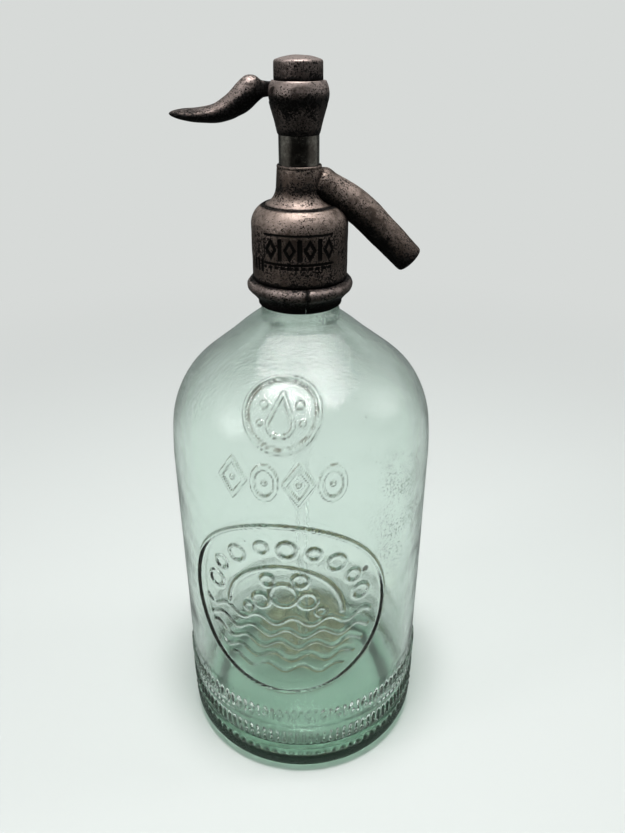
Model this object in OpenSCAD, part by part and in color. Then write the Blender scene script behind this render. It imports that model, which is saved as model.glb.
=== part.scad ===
// Soda siphon: a thick glass bottle with a cast head, a side lever and a
// bent spout. Pressing the lever lifts a spring-loaded valve off its seat, and
// gas pressure drives the water up the dip tube, past the seat and out.
// Millimetres. Z is up, the bottle stands on z = 0, the spout points to +X.

/* [Bottle] */
// Outside diameter of the bottle
body_d = 112; // [100:1:124]
// Thickness of the glass wall
wall = 4.5; // [3.5:0.5:6]
// Height of the straight wall, where it starts to lean in
wall_top_z = 145; // [100:1:170]
// Height over which the wall leans in before the shoulder
lean_h = 18; // [12:1:24]
// Lean of the wall where the shoulder starts
lean_angle = 6.4; // [4:0.2:9]
// Radius of the round of the shoulder, in profile
shoulder_r = 40; // [34:1:46]
// Slope of the shoulder above its round, from upright
shoulder_angle = 50; // [44:1:54]
// Slope of the shoulder inside, from upright
inner_angle = 57; // [55:1:59]
// Outside diameter of the glass neck
neck_d = 31; // [30:0.5:32]
// Height of the neck, from shoulder to bead
neck_h = 17.4; // [17:0.1:22]
// Bore of the glass neck
bore_d = 18; // [16:0.5:19]
// Round between the shoulder and the neck
root_r = 3; // [1:0.5:4]
// Diameter of the bead that the collar grips
bead_d = 33.2; // [33:0.1:33.4]
// Height of the bead
bead_h = 6; // [4:0.5:8]
// Radius of the heel
heel_r = 8; // [5:1:12]
// Width of the ring that the bottle stands on
foot_w = 8; // [5:1:12]
// Thickness of the floor at its edge
floor_t = 7; // [5:1:10]
// Rise of the hollow under the floor
punt_h = 9; // [4:1:12]
// Round between the wall and the floor, inside
floor_r = 12; // [8:1:16]

/* [Shoulder panels] */
// Number of pressed panels round the shoulder
panel_count = 4; // [3:1:6]
// Turn of the panels about the bottle
panel_turn = -6; // [-20:1:20]
// Slope of a panel, from upright
panel_angle = 53.8; // [52:0.2:55]
// How far a panel's own axis lies behind the bottle's
panel_shift = 17; // [12:1:24]
// How far the top of a panel lies below the root of the neck
panel_drop = 3.4; // [2.6:0.2:4]

/* [Split collar] */
// Outside diameter of the collar's rim
rim_d = 41.8; // [41:0.2:44]
// Thickness of the rim
rim_t = 5; // [4:0.5:6]
// Height of the threaded shank above the rim
shank_h = 5.5; // [5:0.5:7]
// Height of the collar
collar_h = 15.8; // [15:0.1:16.6]
// Diameter of the lip at the bottom of the collar
lip_d = 33; // [32.6:0.2:34]
// Thickness of the lip
lip_t = 1.4; // [1:0.2:1.6]
// Kerf where the collar is split
kerf = 0.5; // [0.3:0.1:1]
// Turn of the split about the bottle
split_turn = 7.6; // [0:0.2:20]

/* [Head] */
// Outside diameter of the skirt
skirt_d = 37; // [36.6:0.2:39]
// Bore of the skirt
skirt_bore_d = 33.9; // [33.8:0.1:34.2]
// Height of the straight skirt above its seat
skirt_rise = 7; // [6:0.5:9]
// Radius of the dome above the skirt, in profile
dome_r = 8.2; // [7:0.2:9]
// Diameter of the scribed line round the dome
scribe_d = 27.2; // [26.6:0.2:28]
// Diameter of the head's neck at its foot
head_neck_d = 17.7; // [17.3:0.1:18.4]
// Diameter of the head's neck at its rim
head_rim_d = 16.8; // [16.4:0.1:17.2]
// Height of the head above the straight skirt
head_rise = 21.3; // [20:0.5:24]
// Bore of the valve chamber
chamber_d = 10.4; // [10:0.1:10.6]
// Bore of the side port to the spout
port_d = 6; // [4.8:0.2:6.4]
// Diameter of the recess for the tube's collar
recess_d = 19.8; // [19.4:0.1:20.6]
// Thickness of the web between the recess and the valve chamber
web_t = 3.8; // [3:0.2:5]

/* [Spout] */
// Diameter of the spout along its bend
spout_d = 12.6; // [11.5:0.1:13]
// Diameter of the spout at its mouth
mouth_d = 11.5; // [10.5:0.1:12]
// Bore of the spout
spout_bore_d = 7.6; // [6.4:0.2:8.4]
// Radius of the spout's bend, on its centre line
bend_r = 46; // [42:1:50]
// Slope of the spout where it would cross the bottle's axis
spout_start_angle = 8; // [4:1:12]
// Slope of the spout's straight end
spout_end_angle = 44.5; // [38:0.5:52]
// Length of the spout's straight end
spout_len = 23.8; // [18:0.2:30]
// Drop of the spout's centre line below the head's rim, at the axis
spout_drop = 6.2; // [5.8:0.1:7]

/* [Dip tube and seals] */
// Diameter of the dip tube
tube_d = 5.6; // [5:0.2:6]
// Bore of the dip tube
tube_bore_d = 3.4; // [2.6:0.2:4]
// Diameter of the tube's collar
tube_collar_d = 18.8; // [18.4:0.1:19]
// Thickness of the tube's collar
tube_collar_t = 1.8; // [1.4:0.2:2.4]
// Gap between the tube's foot and the floor
tube_gap = 4; // [2:0.5:10]
// Thickness of the rubber ring on the bottle's mouth
neck_washer_t = 2; // [1.5:0.1:3]
// Thickness of the rubber ring over the tube's collar
tube_seal_t = 1.4; // [1:0.2:2]

/* [Valve] */
// Bore of the valve seat
seat_bore_d = 5.4; // [5:0.1:5.8]
// Height of the valve seat under its nose
seat_h = 2.6; // [2:0.1:3.2]
// Height of the seat's nose
nose_h = 0.8; // [0.5:0.1:1.2]
// Diameter of the seat's nose
nose_d = 7; // [6.8:0.1:7.4]
// Diameter of the rubber valve washer
washer_d = 8.6; // [8:0.1:9]
// Thickness of the rubber valve washer
washer_t = 2.2; // [1.6:0.1:2.8]
// Diameter of the flange that backs the washer
flange_d = 9; // [8.6:0.1:9.6]
// Thickness of that flange
flange_t = 1.4; // [1:0.1:1.8]
// Diameter of the stud that holds the washer
stud_d = 2; // [1.6:0.1:2.4]
// Width of the washer's nut across its flats
nut_w = 3.4; // [3:0.1:3.8]
// Thickness of the washer's nut
nut_t = 1.5; // [1.2:0.1:1.8]
// Diameter of the valve stem
stem_d = 4; // [3.4:0.1:4.4]
// Length of the piston
piston_h = 4.5; // [4:0.1:5]
// Width of the piston's seal
piston_seal_w = 1.8; // [1.4:0.1:2.2]
// Diameter of the floor of the seal's groove
groove_d = 7.8; // [7:0.1:8.4]
// Diameter of the rod above the piston
rod_d = 3.8; // [3.4:0.1:4]
// Travel of the valve at full press
valve_lift = 2.225; // [1.5:0.005:2.4]

/* [Spring] */
// Diameter of the spring's wire
wire_d = 1; // [0.8:0.05:1.2]
// Mean diameter of the spring's turns
coil_d = 7.6; // [7:0.1:8]
// Number of turns
coil_turns = 5; // [4:1:6]

/* [Barrel and lever housing] */
// Diameter of the barrel between the head and the housing
barrel_d = 14.9; // [14.7:0.1:15.4]
// Diameter of the barrel inside the housing and the cap
barrel_top_d = 13.8; // [13.6:0.1:14]
// Diameter of the barrel's tail in the head
tail_d = 12.5; // [12.2:0.1:13]
// Length of the barrel's tail
tail_h = 3.1; // [3:0.1:3.2]
// Bore of the barrel round the piston
piston_bore_d = 10.8; // [10.6:0.1:11]
// Bore of the barrel above the guide bush
top_bore_d = 11.8; // [11.6:0.1:12]
// Height of the barrel between the head and the housing
barrel_neck_h = 10.2; // [9:0.1:14]
// Thickness of the fibre washer under the tail
barrel_washer_t = 0.6; // [0.5:0.1:0.8]
// Room for the spring, from piston to guide bush
spring_room = 11; // [10:0.5:13]
// Thickness of the guide bush
bush_t = 3.5; // [3:0.1:4]
// Height of the lever housing
housing_h = 17.5; // [17:0.1:19]
// Largest diameter of the housing
housing_d = 22.1; // [22:0.1:23]
// Radius of the round near the top of the housing, in profile
housing_round = 8; // [7:0.5:9]
// Distance of the widest place below the top of the housing
housing_wide_drop = 4.1; // [3.8:0.1:5]
// Flare of the housing's wall, from upright
housing_flare = 15; // [12:0.5:15]
// Height of the slot for the lever, under the top of the housing
slot_h = 6.8; // [6.4:0.1:7.6]

/* [Lever] */
// Distance of the lever's pin from the bottle's axis
pivot_x = 8.5; // [8.4:0.05:8.8]
// Drop of the pin below the top of the housing
pivot_drop = 2.8; // [2.7:0.1:3]
// Diameter of the lever's pin
pin_d = 2.5; // [2:0.1:2.6]
// Length of the lever's pin
pin_len = 13.2; // [12:0.1:13.4]
// Diameter of the boss round the pin
boss_d = 4.8; // [4.4:0.1:5]
// Width of the lever where it passes through the slot
lever_neck_w = 4.2; // [3.6:0.1:4.6]
// Reach of the lever, from its pin to its tip
lever_reach = 37.1; // [30:0.1:46]
// Drop of the lever's underside below its pin
lever_drop = 10.85; // [9:0.05:13]
// Width of the lever's thumb rest
lever_w = 12.6; // [9:0.2:16]
// Thickness of the tongue that lifts the valve
tongue_t = 2.4; // [2:0.1:2.6]
// Width of the tongue
tongue_w = 2.6; // [2.2:0.1:3]

/* [Lifting eye] */
// Diameter of the eye on the valve rod
eye_d = 6.8; // [6.4:0.1:7.2]
// Height of metal under the eye's window
eye_foot_h = 3.8; // [3.6:0.1:4]
// Gap between the guide bush and the eye, at rest
eye_gap = 2; // [1.8:0.1:2.2]

/* [Cap] */
// Diameter of the cap
cap_d = 17.4; // [17:0.1:18]
// Height of the cap's side
cap_side_h = 5.6; // [5:0.1:6.6]
// Height of the crown above the side
crown_h = 2.4; // [2:0.1:3]
// Height of barrel that the cap screws on
cap_thread_h = 5; // [4.6:0.1:5.4]
// Thickness of the washer in the cap
cap_gasket_t = 0.6; // [0.4:0.1:0.8]

/* [Fits] */
// Radial clearance of a running fit
run_fit = 0.06; // [0.02:0.01:0.1]
// Radial clearance of pieces that screw or press together
seat_fit = 0.03; // [0.01:0.01:0.08]
// Gap where two pieces come close and must not touch
free_gap = 0.3; // [0.2:0.05:0.4]
// Gap between the closed valve and its seat
valve_gap = 0.02; // [0.01:0.01:0.05]

/* [Hidden] */
$fn = 96;
eps = 0.01;
pewter = "#7d7266";
plated = "#8d857b";
brass = "#a8905c";
rubber = "#2b2725";
aqua = [0.72, 0.86, 0.80, 0.4];

// Profile helpers: points of an arc, of a curve with one handle, and of the
// round that joins an upright line at radius r to a slope above height z.
function arc(c, r, a0, a1, n) =
    [for (i = [0:n]) c + r * [cos(a0 + (a1 - a0) * i / n), sin(a0 + (a1 - a0) * i / n)]];
function bend(p, q, s, n) =
    [for (i = [0:n]) let (t = i / n) (1 - t) * (1 - t) * p + 2 * t * (1 - t) * q + t * t * s];
function root_arc(r, z, slope, f, a0, a1, n) =
    arc([r + f, z + f * tan(slope / 2)], f, a0, a1, n);

// Bottle profile
body_r = body_d / 2;
neck_r = neck_d / 2;
bore_r = bore_d / 2;
lean_r = lean_h / sin(lean_angle);
lean_c = [body_r - lean_r, wall_top_z];
lean_end = lean_c + lean_r * [cos(lean_angle), sin(lean_angle)];
shoulder_c = lean_end - shoulder_r * [cos(lean_angle), sin(lean_angle)];
shoulder_end = shoulder_c + shoulder_r * [cos(shoulder_angle), sin(shoulder_angle)];
root_z = shoulder_end[1] + (shoulder_end[0] - neck_r) / tan(shoulder_angle);
inner_end = shoulder_c + (shoulder_r - wall) * [cos(inner_angle), sin(inner_angle)];
inner_root_z = inner_end[1] + (inner_end[0] - bore_r) / tan(inner_angle);
bead_z = root_z + neck_h;
mouth_z = bead_z + bead_h;
bead_r = bead_d / 2;
lip_round = 1;
in_r = body_r - wall;
floor_z = punt_h + floor_t;
stand_r = body_r - heel_r - foot_w;

// Shoulder panels
panel_z = root_z - panel_drop;
panel_neck_r = neck_r + 0.2;
panel_low_z = panel_z - 26;

// Collar
collar_bore_r = neck_r + 0.1;
collar_z = bead_z - collar_h;
rim_r = rim_d / 2;
rim_z = bead_z - shank_h - rim_t / 2;
shank_r = skirt_bore_d / 2 - seat_fit;

// Head
seat_z = mouth_z + neck_washer_t;
skirt_z = bead_z - shank_h + free_gap;
skirt_r = skirt_d / 2;
dome_z = seat_z + skirt_rise;
head_top_z = dome_z + head_rise;
recess_top_z = seat_z + tube_collar_t + tube_seal_t;
chamber_z = recess_top_z + web_t;
tail_z = head_top_z - tail_h;
ledge_z = tail_z - barrel_washer_t;

// Spout: the bend turns about a centre below the head
bend_x = -bend_r * sin(spout_start_angle);
bend_z = head_top_z - spout_drop - bend_r * cos(spout_start_angle);
spout_turn = spout_end_angle;

// Valve, from the seat up
nose_z = chamber_z + seat_h + nose_h;
washer_z = nose_z + valve_gap;
flange_z = washer_z + washer_t;
piston_z = tail_z + free_gap;
piston_top_z = piston_z + piston_h;
bush_z = piston_top_z + spring_room;
eye_z = bush_z + bush_t + eye_gap;
rod_top_z = eye_z + eye_foot_h - 0.8;
piston_r = piston_bore_d / 2 - run_fit;

// Barrel, housing, cap and lever
shelf_z = head_top_z + barrel_neck_h;
housing_top_z = shelf_z + housing_h;
barrel_top_z = housing_top_z + cap_thread_h;
pivot_z = housing_top_z - pivot_drop;
slot_w = lever_neck_w + 2 * free_gap;
window_w = tongue_w + 0.4;
barrel_top_r = barrel_top_d / 2;
cap_in_r = barrel_top_r + seat_fit;
cap_in_z = barrel_top_z + cap_gasket_t;
eye_h = barrel_top_z - free_gap - valve_lift - eye_z;

// Lever outline beyond its pin: share of the reach, then the heights of the
// upper and the lower edge and how far the lower edge lies towards the pin as
// shares of the drop, and share of the width.
bill = [
    [0.116, 0.258, -0.24, 0.046, 0.33],
    [0.18, 0.406, -0.396, 0.055, 0.56],
    [0.261, 0.406, -0.544, 0.175, 0.72],
    [0.337, 0.23, -0.682, 0.24, 0.78],
    [0.407, -0.018, -0.783, 0.276, 0.83],
    [0.48, -0.23, -0.903, 0.23, 0.89],
    [0.588, -0.433, -1, 0.166, 0.97],
    [0.741, -0.535, -0.995, 0.046, 1],
    [0.876, -0.571, -0.922, 0, 0.9],
    [0.965, -0.627, -0.82, 0, 0.62],
    [1, -0.691, -0.747, 0, 0.22]
];
bill_steps = 3;
bill_sides = 24;
function glide(a, b, c, d, t) =
    b + 0.5 * t * (c - a + t * (2 * a - 5 * b + 4 * c - d + t * (3 * (b - c) + d - a)));
function bill_at(i, t) =
    glide(bill[max(i - 1, 0)], bill[i], bill[i + 1], bill[min(i + 2, len(bill) - 1)], t);
function bill_ring(s) =
    let (up = [-s[0] * lever_reach, s[1] * lever_drop],
         low = [-s[0] * lever_reach + s[3] * lever_drop, s[2] * lever_drop],
         mid = (up + low) / 2, half = (up - low) / 2, w = s[4] * lever_w / 2)
    [for (k = [0:bill_sides - 1]) let (a = 360 * k / bill_sides)
        [mid[0] + half[0] * sin(a), w * cos(a), mid[1] + half[1] * sin(a)]];
bill_rings = [
    for (i = [0:len(bill) - 2], j = [0:bill_steps - 1]) bill_ring(bill_at(i, j / bill_steps)),
    bill_ring(bill[len(bill) - 1])
];

// Spring: a helix between the piston and the guide bush
coil_steps = 20;
coil_sides = 8;
coil_gap = 0.05;
coil_z = piston_top_z + wire_d / 2 + coil_gap;
coil_pitch = (spring_room - wire_d - 2 * coil_gap) / coil_turns;
function coil_point(i, k) =
    let (a = 360 * i / coil_steps, b = 360 * k / coil_sides,
         r = (coil_d + wire_d * cos(b)) / 2)
    [r * cos(a), r * sin(a), coil_z + coil_pitch * i / coil_steps + wire_d / 2 * sin(b)];
coil_rings = [
    for (i = [0:coil_turns * coil_steps]) [for (k = [0:coil_sides - 1]) coil_point(i, k)]
];
echo(least_spring_gap = coil_pitch - wire_d);

// A tube or bill through rings of points, closed at both ends
module skin(rings) {
    n = len(rings[0]);
    last = len(rings) - 1;
    points = [for (ring = rings) each ring];
    sides = [
        for (i = [0:last - 1], k = [0:n - 1]) let (a = i * n + k, b = i * n + (k + 1) % n)
            each [[a, b, a + n], [b, b + n, a + n]]
    ];
    foot = [for (k = [0:n - 1]) n - 1 - k];
    head = [for (k = [0:n - 1]) last * n + k];
    polyhedron(points, concat(sides, [foot, head]));
}

module ring(z, h, r_out, r_in) {
    translate([0, 0, z]) difference() {
        cylinder(h = h, r = r_out);
        translate([0, 0, -1]) cylinder(h = h + 2, r = r_in);
    }
}

// Solid outline of the head, also used to cope the spout
module head_form() {
    a_end = acos((scribe_d / 2 + 0.4 - (skirt_r - dome_r)) / dome_r);
    dome_c = [skirt_r - dome_r, dome_z];
    scribe = dome_c + dome_r * [cos(a_end), sin(a_end)];
    foot_top = scribe[1] + 5.6;
    rotate_extrude() polygon(concat(
        [[0, skirt_z], [skirt_r - 0.4, skirt_z], [skirt_r, skirt_z + 0.4]],
        arc(dome_c, dome_r, 0, a_end, 8),
        [scribe + [-0.5, -0.25]],
        bend(scribe + [-0.8, 0.1], [head_neck_d / 2 + 0.8, scribe[1] + 1.1],
             [head_neck_d / 2, foot_top], 6),
        [[head_rim_d / 2, head_top_z - 1.3], [head_rim_d / 2 - 0.2, head_top_z - 1.1],
         [head_rim_d / 2, head_top_z - 0.9], [head_rim_d / 2, head_top_z - 0.3],
         [head_rim_d / 2 - 0.3, head_top_z], [0, head_top_z]]
    ));
}

module glass_bottle() {
    color(aqua) difference() {
        rotate_extrude() polygon(concat(
            [[0, punt_h]],
            bend([0, punt_h], [stand_r * 0.55, punt_h], [stand_r, 0], 8),
            arc([body_r - heel_r, heel_r], heel_r, -90, 0, 8),
            arc(lean_c, lean_r, 0, lean_angle, 3),
            arc(shoulder_c, shoulder_r, lean_angle + 3, shoulder_angle, 12),
            root_arc(neck_r, root_z, shoulder_angle, root_r, 180 + shoulder_angle, 180, 5),
            [[neck_r, bead_z]],
            arc([bead_r - lip_round, bead_z + lip_round], lip_round, -90, 0, 4),
            arc([bead_r - lip_round, mouth_z - lip_round], lip_round, 0, 90, 4),
            arc([bore_r + lip_round, mouth_z - lip_round], lip_round, 90, 180, 4),
            root_arc(bore_r, inner_root_z, inner_angle, root_r + 1, 180, 180 + inner_angle, 5),
            arc(shoulder_c, shoulder_r - wall, inner_angle, lean_angle + 3, 10),
            arc(lean_c, lean_r - wall, lean_angle, 0, 3),
            arc([in_r - floor_r, floor_t + floor_r], floor_r, 0, -90, 7),
            bend([stand_r, floor_t], [stand_r * 0.55, floor_z], [0, floor_z], 8)
        ));
        for (k = [0:panel_count - 1]) rotate(panel_turn + 360 / panel_count * k) panel_cut();
    }
}

// What a panel takes off the shoulder: all outside a wide cone whose axis lies
// behind the bottle's, and outside an upright wall above it.
module panel_cut() {
    wide_r = panel_neck_r + (panel_z - panel_low_z) * tan(panel_angle);
    translate([0, panel_shift, panel_low_z]) difference() {
        cylinder(h = bead_z - 2 - panel_low_z, r = wide_r + panel_shift + 20);
        translate([0, 0, -eps]) rotate_extrude() polygon([
            [0, 0], [wide_r + panel_shift, 0],
            [panel_neck_r + panel_shift, panel_z - panel_low_z],
            [panel_neck_r + panel_shift, bead_z - panel_low_z], [0, bead_z - panel_low_z]
        ]);
    }
}

// One half of the split collar that grips the glass under its bead
module collar_half(turn) {
    low = collar_z + lip_t;
    rotate(split_turn - 90 + turn) difference() {
        rotate_extrude(angle = 180) polygon(concat(
            [[collar_bore_r, collar_z]],
            arc([lip_d / 2 - lip_t / 2, collar_z + lip_t / 2], lip_t / 2, -90, 70, 5),
            [[lip_d / 2 - 0.6, low]],
            arc([rim_r - rim_t / 2, rim_z], rim_t / 2, -60, 90, 10),
            [[shank_r, bead_z - shank_h], [shank_r, bead_z], [collar_bore_r, bead_z]]
        ));
        translate([-rim_r - 1, -eps, collar_z - 1]) cube([rim_d + 2, kerf / 2 + eps, collar_h + 2]);
    }
}

module collar_half_left() {
    color(pewter) collar_half(180);
}

module collar_half_right() {
    color(pewter) collar_half(0);
}

module neck_washer() {
    color(rubber) ring(mouth_z, neck_washer_t, skirt_bore_d / 2 - 0.6, tube_d / 2 + 0.3);
}

// Line of the side port, from the valve chamber to the spout
module port(d) {
    a = spout_start_angle + 6;
    x = chamber_d / 2;
    z = bend_z + sqrt(bend_r * bend_r - (x - bend_x) * (x - bend_x));
    translate([x, 0, z]) rotate([0, 90 + a, 0]) translate([0, 0, -x / 2]) cylinder(h = 8, d = d);
}

module siphon_head() {
    color(pewter) difference() {
        head_form();
        translate([0, 0, skirt_z - 1]) cylinder(h = seat_z - skirt_z + 1, d = skirt_bore_d);
        translate([0, 0, seat_z - eps]) cylinder(h = recess_top_z - seat_z + eps, d = recess_d);
        translate([0, 0, recess_top_z - 1]) cylinder(h = web_t + 2, d = seat_bore_d);
        translate([0, 0, chamber_z]) cylinder(h = head_top_z, d = chamber_d);
        translate([0, 0, ledge_z]) cylinder(h = head_top_z, r = tail_d / 2 + seat_fit);
        port(port_d);
    }
}

// Bent tube, coped to the neck and the dome of the head
module spout() {
    tip_r = mouth_d / 2;
    start = asin((head_rim_d / 2 - 2 - bend_x) / bend_r);
    color(pewter) difference() {
        translate([bend_x, 0, bend_z]) rotate([90, 0, 0]) {
            rotate([0, 0, 90 - spout_turn]) rotate_extrude(angle = spout_turn - start)
                translate([bend_r, 0]) difference() {
                    circle(d = spout_d);
                    circle(d = spout_bore_d);
                }
            rotate([0, 0, 90 - spout_turn]) translate([bend_r, 0, 0]) rotate([90, 0, 0])
                difference() {
                    rotate_extrude() polygon([
                        [0, 0], [spout_d / 2, 0], [tip_r, spout_len - 0.8],
                        [tip_r - 0.8, spout_len], [0, spout_len]
                    ]);
                    translate([0, 0, -1]) cylinder(h = spout_len + 2, d = spout_bore_d);
                }
        }
        head_form();
    }
}

module valve_seat() {
    color(brass) difference() {
        translate([0, 0, chamber_z]) {
            cylinder(h = seat_h, r = chamber_d / 2 - seat_fit);
            cylinder(h = seat_h + nose_h, d = nose_d);
        }
        translate([0, 0, chamber_z - 1]) cylinder(h = seat_h + nose_h + 2, d = seat_bore_d);
    }
}

module tube_seal() {
    color(rubber)
        ring(seat_z + tube_collar_t, tube_seal_t, recess_d / 2 - 0.1, tube_bore_d / 2 + 0.6);
}

module dip_tube() {
    foot_z = floor_z + tube_gap;
    color(aqua) difference() {
        union() {
            translate([0, 0, foot_z]) cylinder(h = seat_z - foot_z + eps, d = tube_d);
            translate([0, 0, seat_z]) cylinder(h = tube_collar_t, d = tube_collar_d);
        }
        translate([0, 0, foot_z - 1])
            cylinder(h = seat_z + tube_collar_t - foot_z + 2, d = tube_bore_d);
    }
}

module barrel_washer() {
    color(rubber) ring(ledge_z, barrel_washer_t, tail_d / 2, chamber_d / 2 + 0.1);
}

// Slot through the barrel and the housing for the lever
module lever_slot(top_z) {
    low_z = housing_top_z - slot_h;
    translate([-housing_d, -slot_w / 2, low_z]) cube([housing_d, slot_w, top_z - low_z]);
}

module valve_barrel() {
    color(plated) difference() {
        union() {
            translate([0, 0, tail_z]) cylinder(h = tail_h + eps, d = tail_d);
            translate([0, 0, head_top_z]) cylinder(h = barrel_neck_h, d = barrel_d);
            translate([0, 0, shelf_z - eps])
                cylinder(h = barrel_top_z - shelf_z + eps, d = barrel_top_d);
        }
        translate([0, 0, tail_z - 1]) cylinder(h = bush_z - tail_z + 1 + eps, d = piston_bore_d);
        translate([0, 0, bush_z]) cylinder(h = barrel_top_z, d = top_bore_d);
        lever_slot(housing_top_z + free_gap);
    }
}

module guide_bush() {
    color(brass) ring(bush_z, bush_t, top_bore_d / 2 - seat_fit, rod_d / 2 + run_fit);
}

module lever_housing() {
    wide_z = housing_top_z - housing_wide_drop;
    round_c = [housing_d / 2 - housing_round, wide_z];
    top_a = asin(housing_wide_drop / housing_round);
    flare_end = round_c + housing_round * [cos(housing_flare), -sin(housing_flare)];
    low_r = flare_end[0] - (flare_end[1] - shelf_z) * tan(housing_flare);
    bore = barrel_top_r + seat_fit;
    color(pewter) difference() {
        rotate_extrude() polygon(concat(
            [[bore, shelf_z], [low_r - 0.2, shelf_z], [low_r + 0.1, shelf_z + 0.5]],
            arc(round_c, housing_round, -housing_flare, top_a, 8),
            [[bore, housing_top_z]]
        ));
        lever_slot(housing_top_z + 1);
        translate([-pivot_x, housing_d / 2, pivot_z]) rotate([90, 0, 0])
            cylinder(h = (housing_d + pin_len) / 2, r = pin_d / 2 + seat_fit);
    }
}

module top_cap() {
    side_z = housing_top_z + cap_side_h;
    r = cap_d / 2;
    color(plated) rotate_extrude() polygon(concat(
        [[cap_in_r, housing_top_z], [r - 0.3, housing_top_z], [r, housing_top_z + 0.5]],
        arc([r - 1.1, side_z], 1.1, 0, 60, 4),
        bend([r - 1.2, side_z + 1.2], [r * 0.5, side_z + crown_h], [0, side_z + crown_h], 6),
        [[0, cap_in_z], [cap_in_r, cap_in_z]]
    ));
}

module cap_gasket() {
    color(rubber) ring(barrel_top_z, cap_gasket_t, barrel_top_r - 0.1, top_bore_d / 2 + 0.1);
}

module lever_pin() {
    color(plated) translate([-pivot_x, pin_len / 2, pivot_z]) rotate([90, 0, 0])
        cylinder(h = pin_len, d = pin_d);
}

// Cranked lever: a bill for the thumb, a neck and boss on the pin, and a
// tongue with a round nose that lifts the eye on the valve rod
module lever() {
    neck_x = bill[1][0] * lever_reach;
    color(pewter) translate([-pivot_x, 0, pivot_z]) difference() {
        union() {
            skin(bill_rings);
            rotate([90, 0, 0]) cylinder(h = lever_neck_w, d = boss_d, center = true);
            translate([-neck_x, -lever_neck_w / 2, -boss_d / 2 + 0.1])
                cube([neck_x, lever_neck_w, boss_d - 0.2]);
            translate([0, -tongue_w / 2, -tongue_t / 2]) cube([pivot_x, tongue_w, tongue_t]);
            translate([pivot_x, 0, 0]) rotate([90, 0, 0])
                cylinder(h = tongue_w, d = tongue_t, center = true);
        }
        rotate([90, 0, 0]) cylinder(h = lever_w, r = pin_d / 2 + run_fit, center = true);
    }
}

module valve_rod() {
    color(brass) difference() {
        union() {
            translate([0, 0, washer_z - nut_t - 0.3])
                cylinder(h = nut_t + 0.3 + washer_t + eps, d = stud_d);
            translate([0, 0, flange_z]) cylinder(h = flange_t, d = flange_d);
            translate([0, 0, flange_z + flange_t - eps])
                cylinder(h = piston_z - flange_z - flange_t + 2 * eps, d = stem_d);
            translate([0, 0, piston_z]) cylinder(h = piston_h, r = piston_r);
            translate([0, 0, piston_top_z - eps])
                cylinder(h = rod_top_z - piston_top_z + eps, d = rod_d);
        }
        ring(piston_z + (piston_h - piston_seal_w) / 2, piston_seal_w, piston_bore_d,
             groove_d / 2);
    }
}

module lifting_eye() {
    window_z = eye_z + eye_foot_h;
    window_top_z = pivot_z + tongue_t / 2 + 0.1;
    color(brass) difference() {
        translate([0, 0, eye_z]) cylinder(h = eye_h, d = eye_d);
        translate([0, 0, eye_z - 1])
            cylinder(h = rod_top_z - eye_z + 1, r = rod_d / 2 + seat_fit);
        translate([-eye_d, -window_w / 2, window_z])
            cube([2 * eye_d, window_w, window_top_z - window_z]);
    }
}

module piston_seal() {
    color(rubber) ring(piston_z + (piston_h - piston_seal_w) / 2, piston_seal_w,
                       piston_bore_d / 2 - run_fit / 2, groove_d / 2);
}

module valve_washer() {
    color(rubber) ring(washer_z, washer_t, washer_d / 2, stud_d / 2 + seat_fit);
}

module washer_nut() {
    color(brass) translate([0, 0, washer_z - nut_t]) difference() {
        cylinder(h = nut_t, d = nut_w / cos(30), $fn = 6);
        translate([0, 0, -1]) cylinder(h = nut_t + 2, r = stud_d / 2 + seat_fit);
    }
}

module valve_spring() {
    color("silver") skin(coil_rings);
}

glass_bottle();
collar_half_left();
collar_half_right();
neck_washer();
siphon_head();
spout();
valve_seat();
tube_seal();
dip_tube();
barrel_washer();
valve_barrel();
guide_bush();
lever_housing();
top_cap();
cap_gasket();
lever_pin();
lever();
valve_rod();
lifting_eye();
piston_seal();
valve_washer();
washer_nut();
valve_spring();
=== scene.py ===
import math

import bmesh
import bpy
import numpy as np
from mathutils import Matrix, Vector


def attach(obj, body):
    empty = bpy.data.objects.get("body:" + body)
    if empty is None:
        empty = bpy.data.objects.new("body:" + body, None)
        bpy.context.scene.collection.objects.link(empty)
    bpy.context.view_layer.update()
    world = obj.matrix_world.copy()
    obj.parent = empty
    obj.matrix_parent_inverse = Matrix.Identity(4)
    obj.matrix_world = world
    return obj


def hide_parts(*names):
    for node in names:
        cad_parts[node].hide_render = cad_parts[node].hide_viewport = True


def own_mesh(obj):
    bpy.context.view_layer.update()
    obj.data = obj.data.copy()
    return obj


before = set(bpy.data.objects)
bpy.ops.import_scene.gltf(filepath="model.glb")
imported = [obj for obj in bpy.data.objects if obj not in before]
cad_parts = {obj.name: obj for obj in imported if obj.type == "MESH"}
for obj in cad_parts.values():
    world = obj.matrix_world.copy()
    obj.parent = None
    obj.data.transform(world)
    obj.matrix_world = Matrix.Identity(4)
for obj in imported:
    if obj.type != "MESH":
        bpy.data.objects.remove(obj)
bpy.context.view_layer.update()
mm = 0.001
weld = 0.002  # points closer than this, in millimetres, are one
print("frame loaded")


# Profiles are lists of (radius, height) in millimetres
def arc(cx, cz, r, a0, a1, n):
    turns = [math.radians(a0 + (a1 - a0) * i / n) for i in range(n + 1)]
    return [(cx + r * math.cos(a), cz + r * math.sin(a)) for a in turns]


def bend(p, q, s, n):
    ts = [i / n for i in range(n + 1)]
    return [tuple((1 - t) ** 2 * p[k] + 2 * t * (1 - t) * q[k] + t * t * s[k] for k in (0, 1)) for t in ts]


def resample(points, step):
    p = np.array(points, float)
    gaps = np.hypot(*np.diff(p, axis=0).T)
    p = p[np.r_[True, gaps > 1e-6]]
    along = np.r_[0, np.cumsum(np.hypot(*np.diff(p, axis=0).T))]
    s = np.linspace(0, along[-1], max(2, int(round(along[-1] / step)) + 1))
    return list(zip(np.interp(s, along, p[:, 0]), np.interp(s, along, p[:, 1])))


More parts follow.
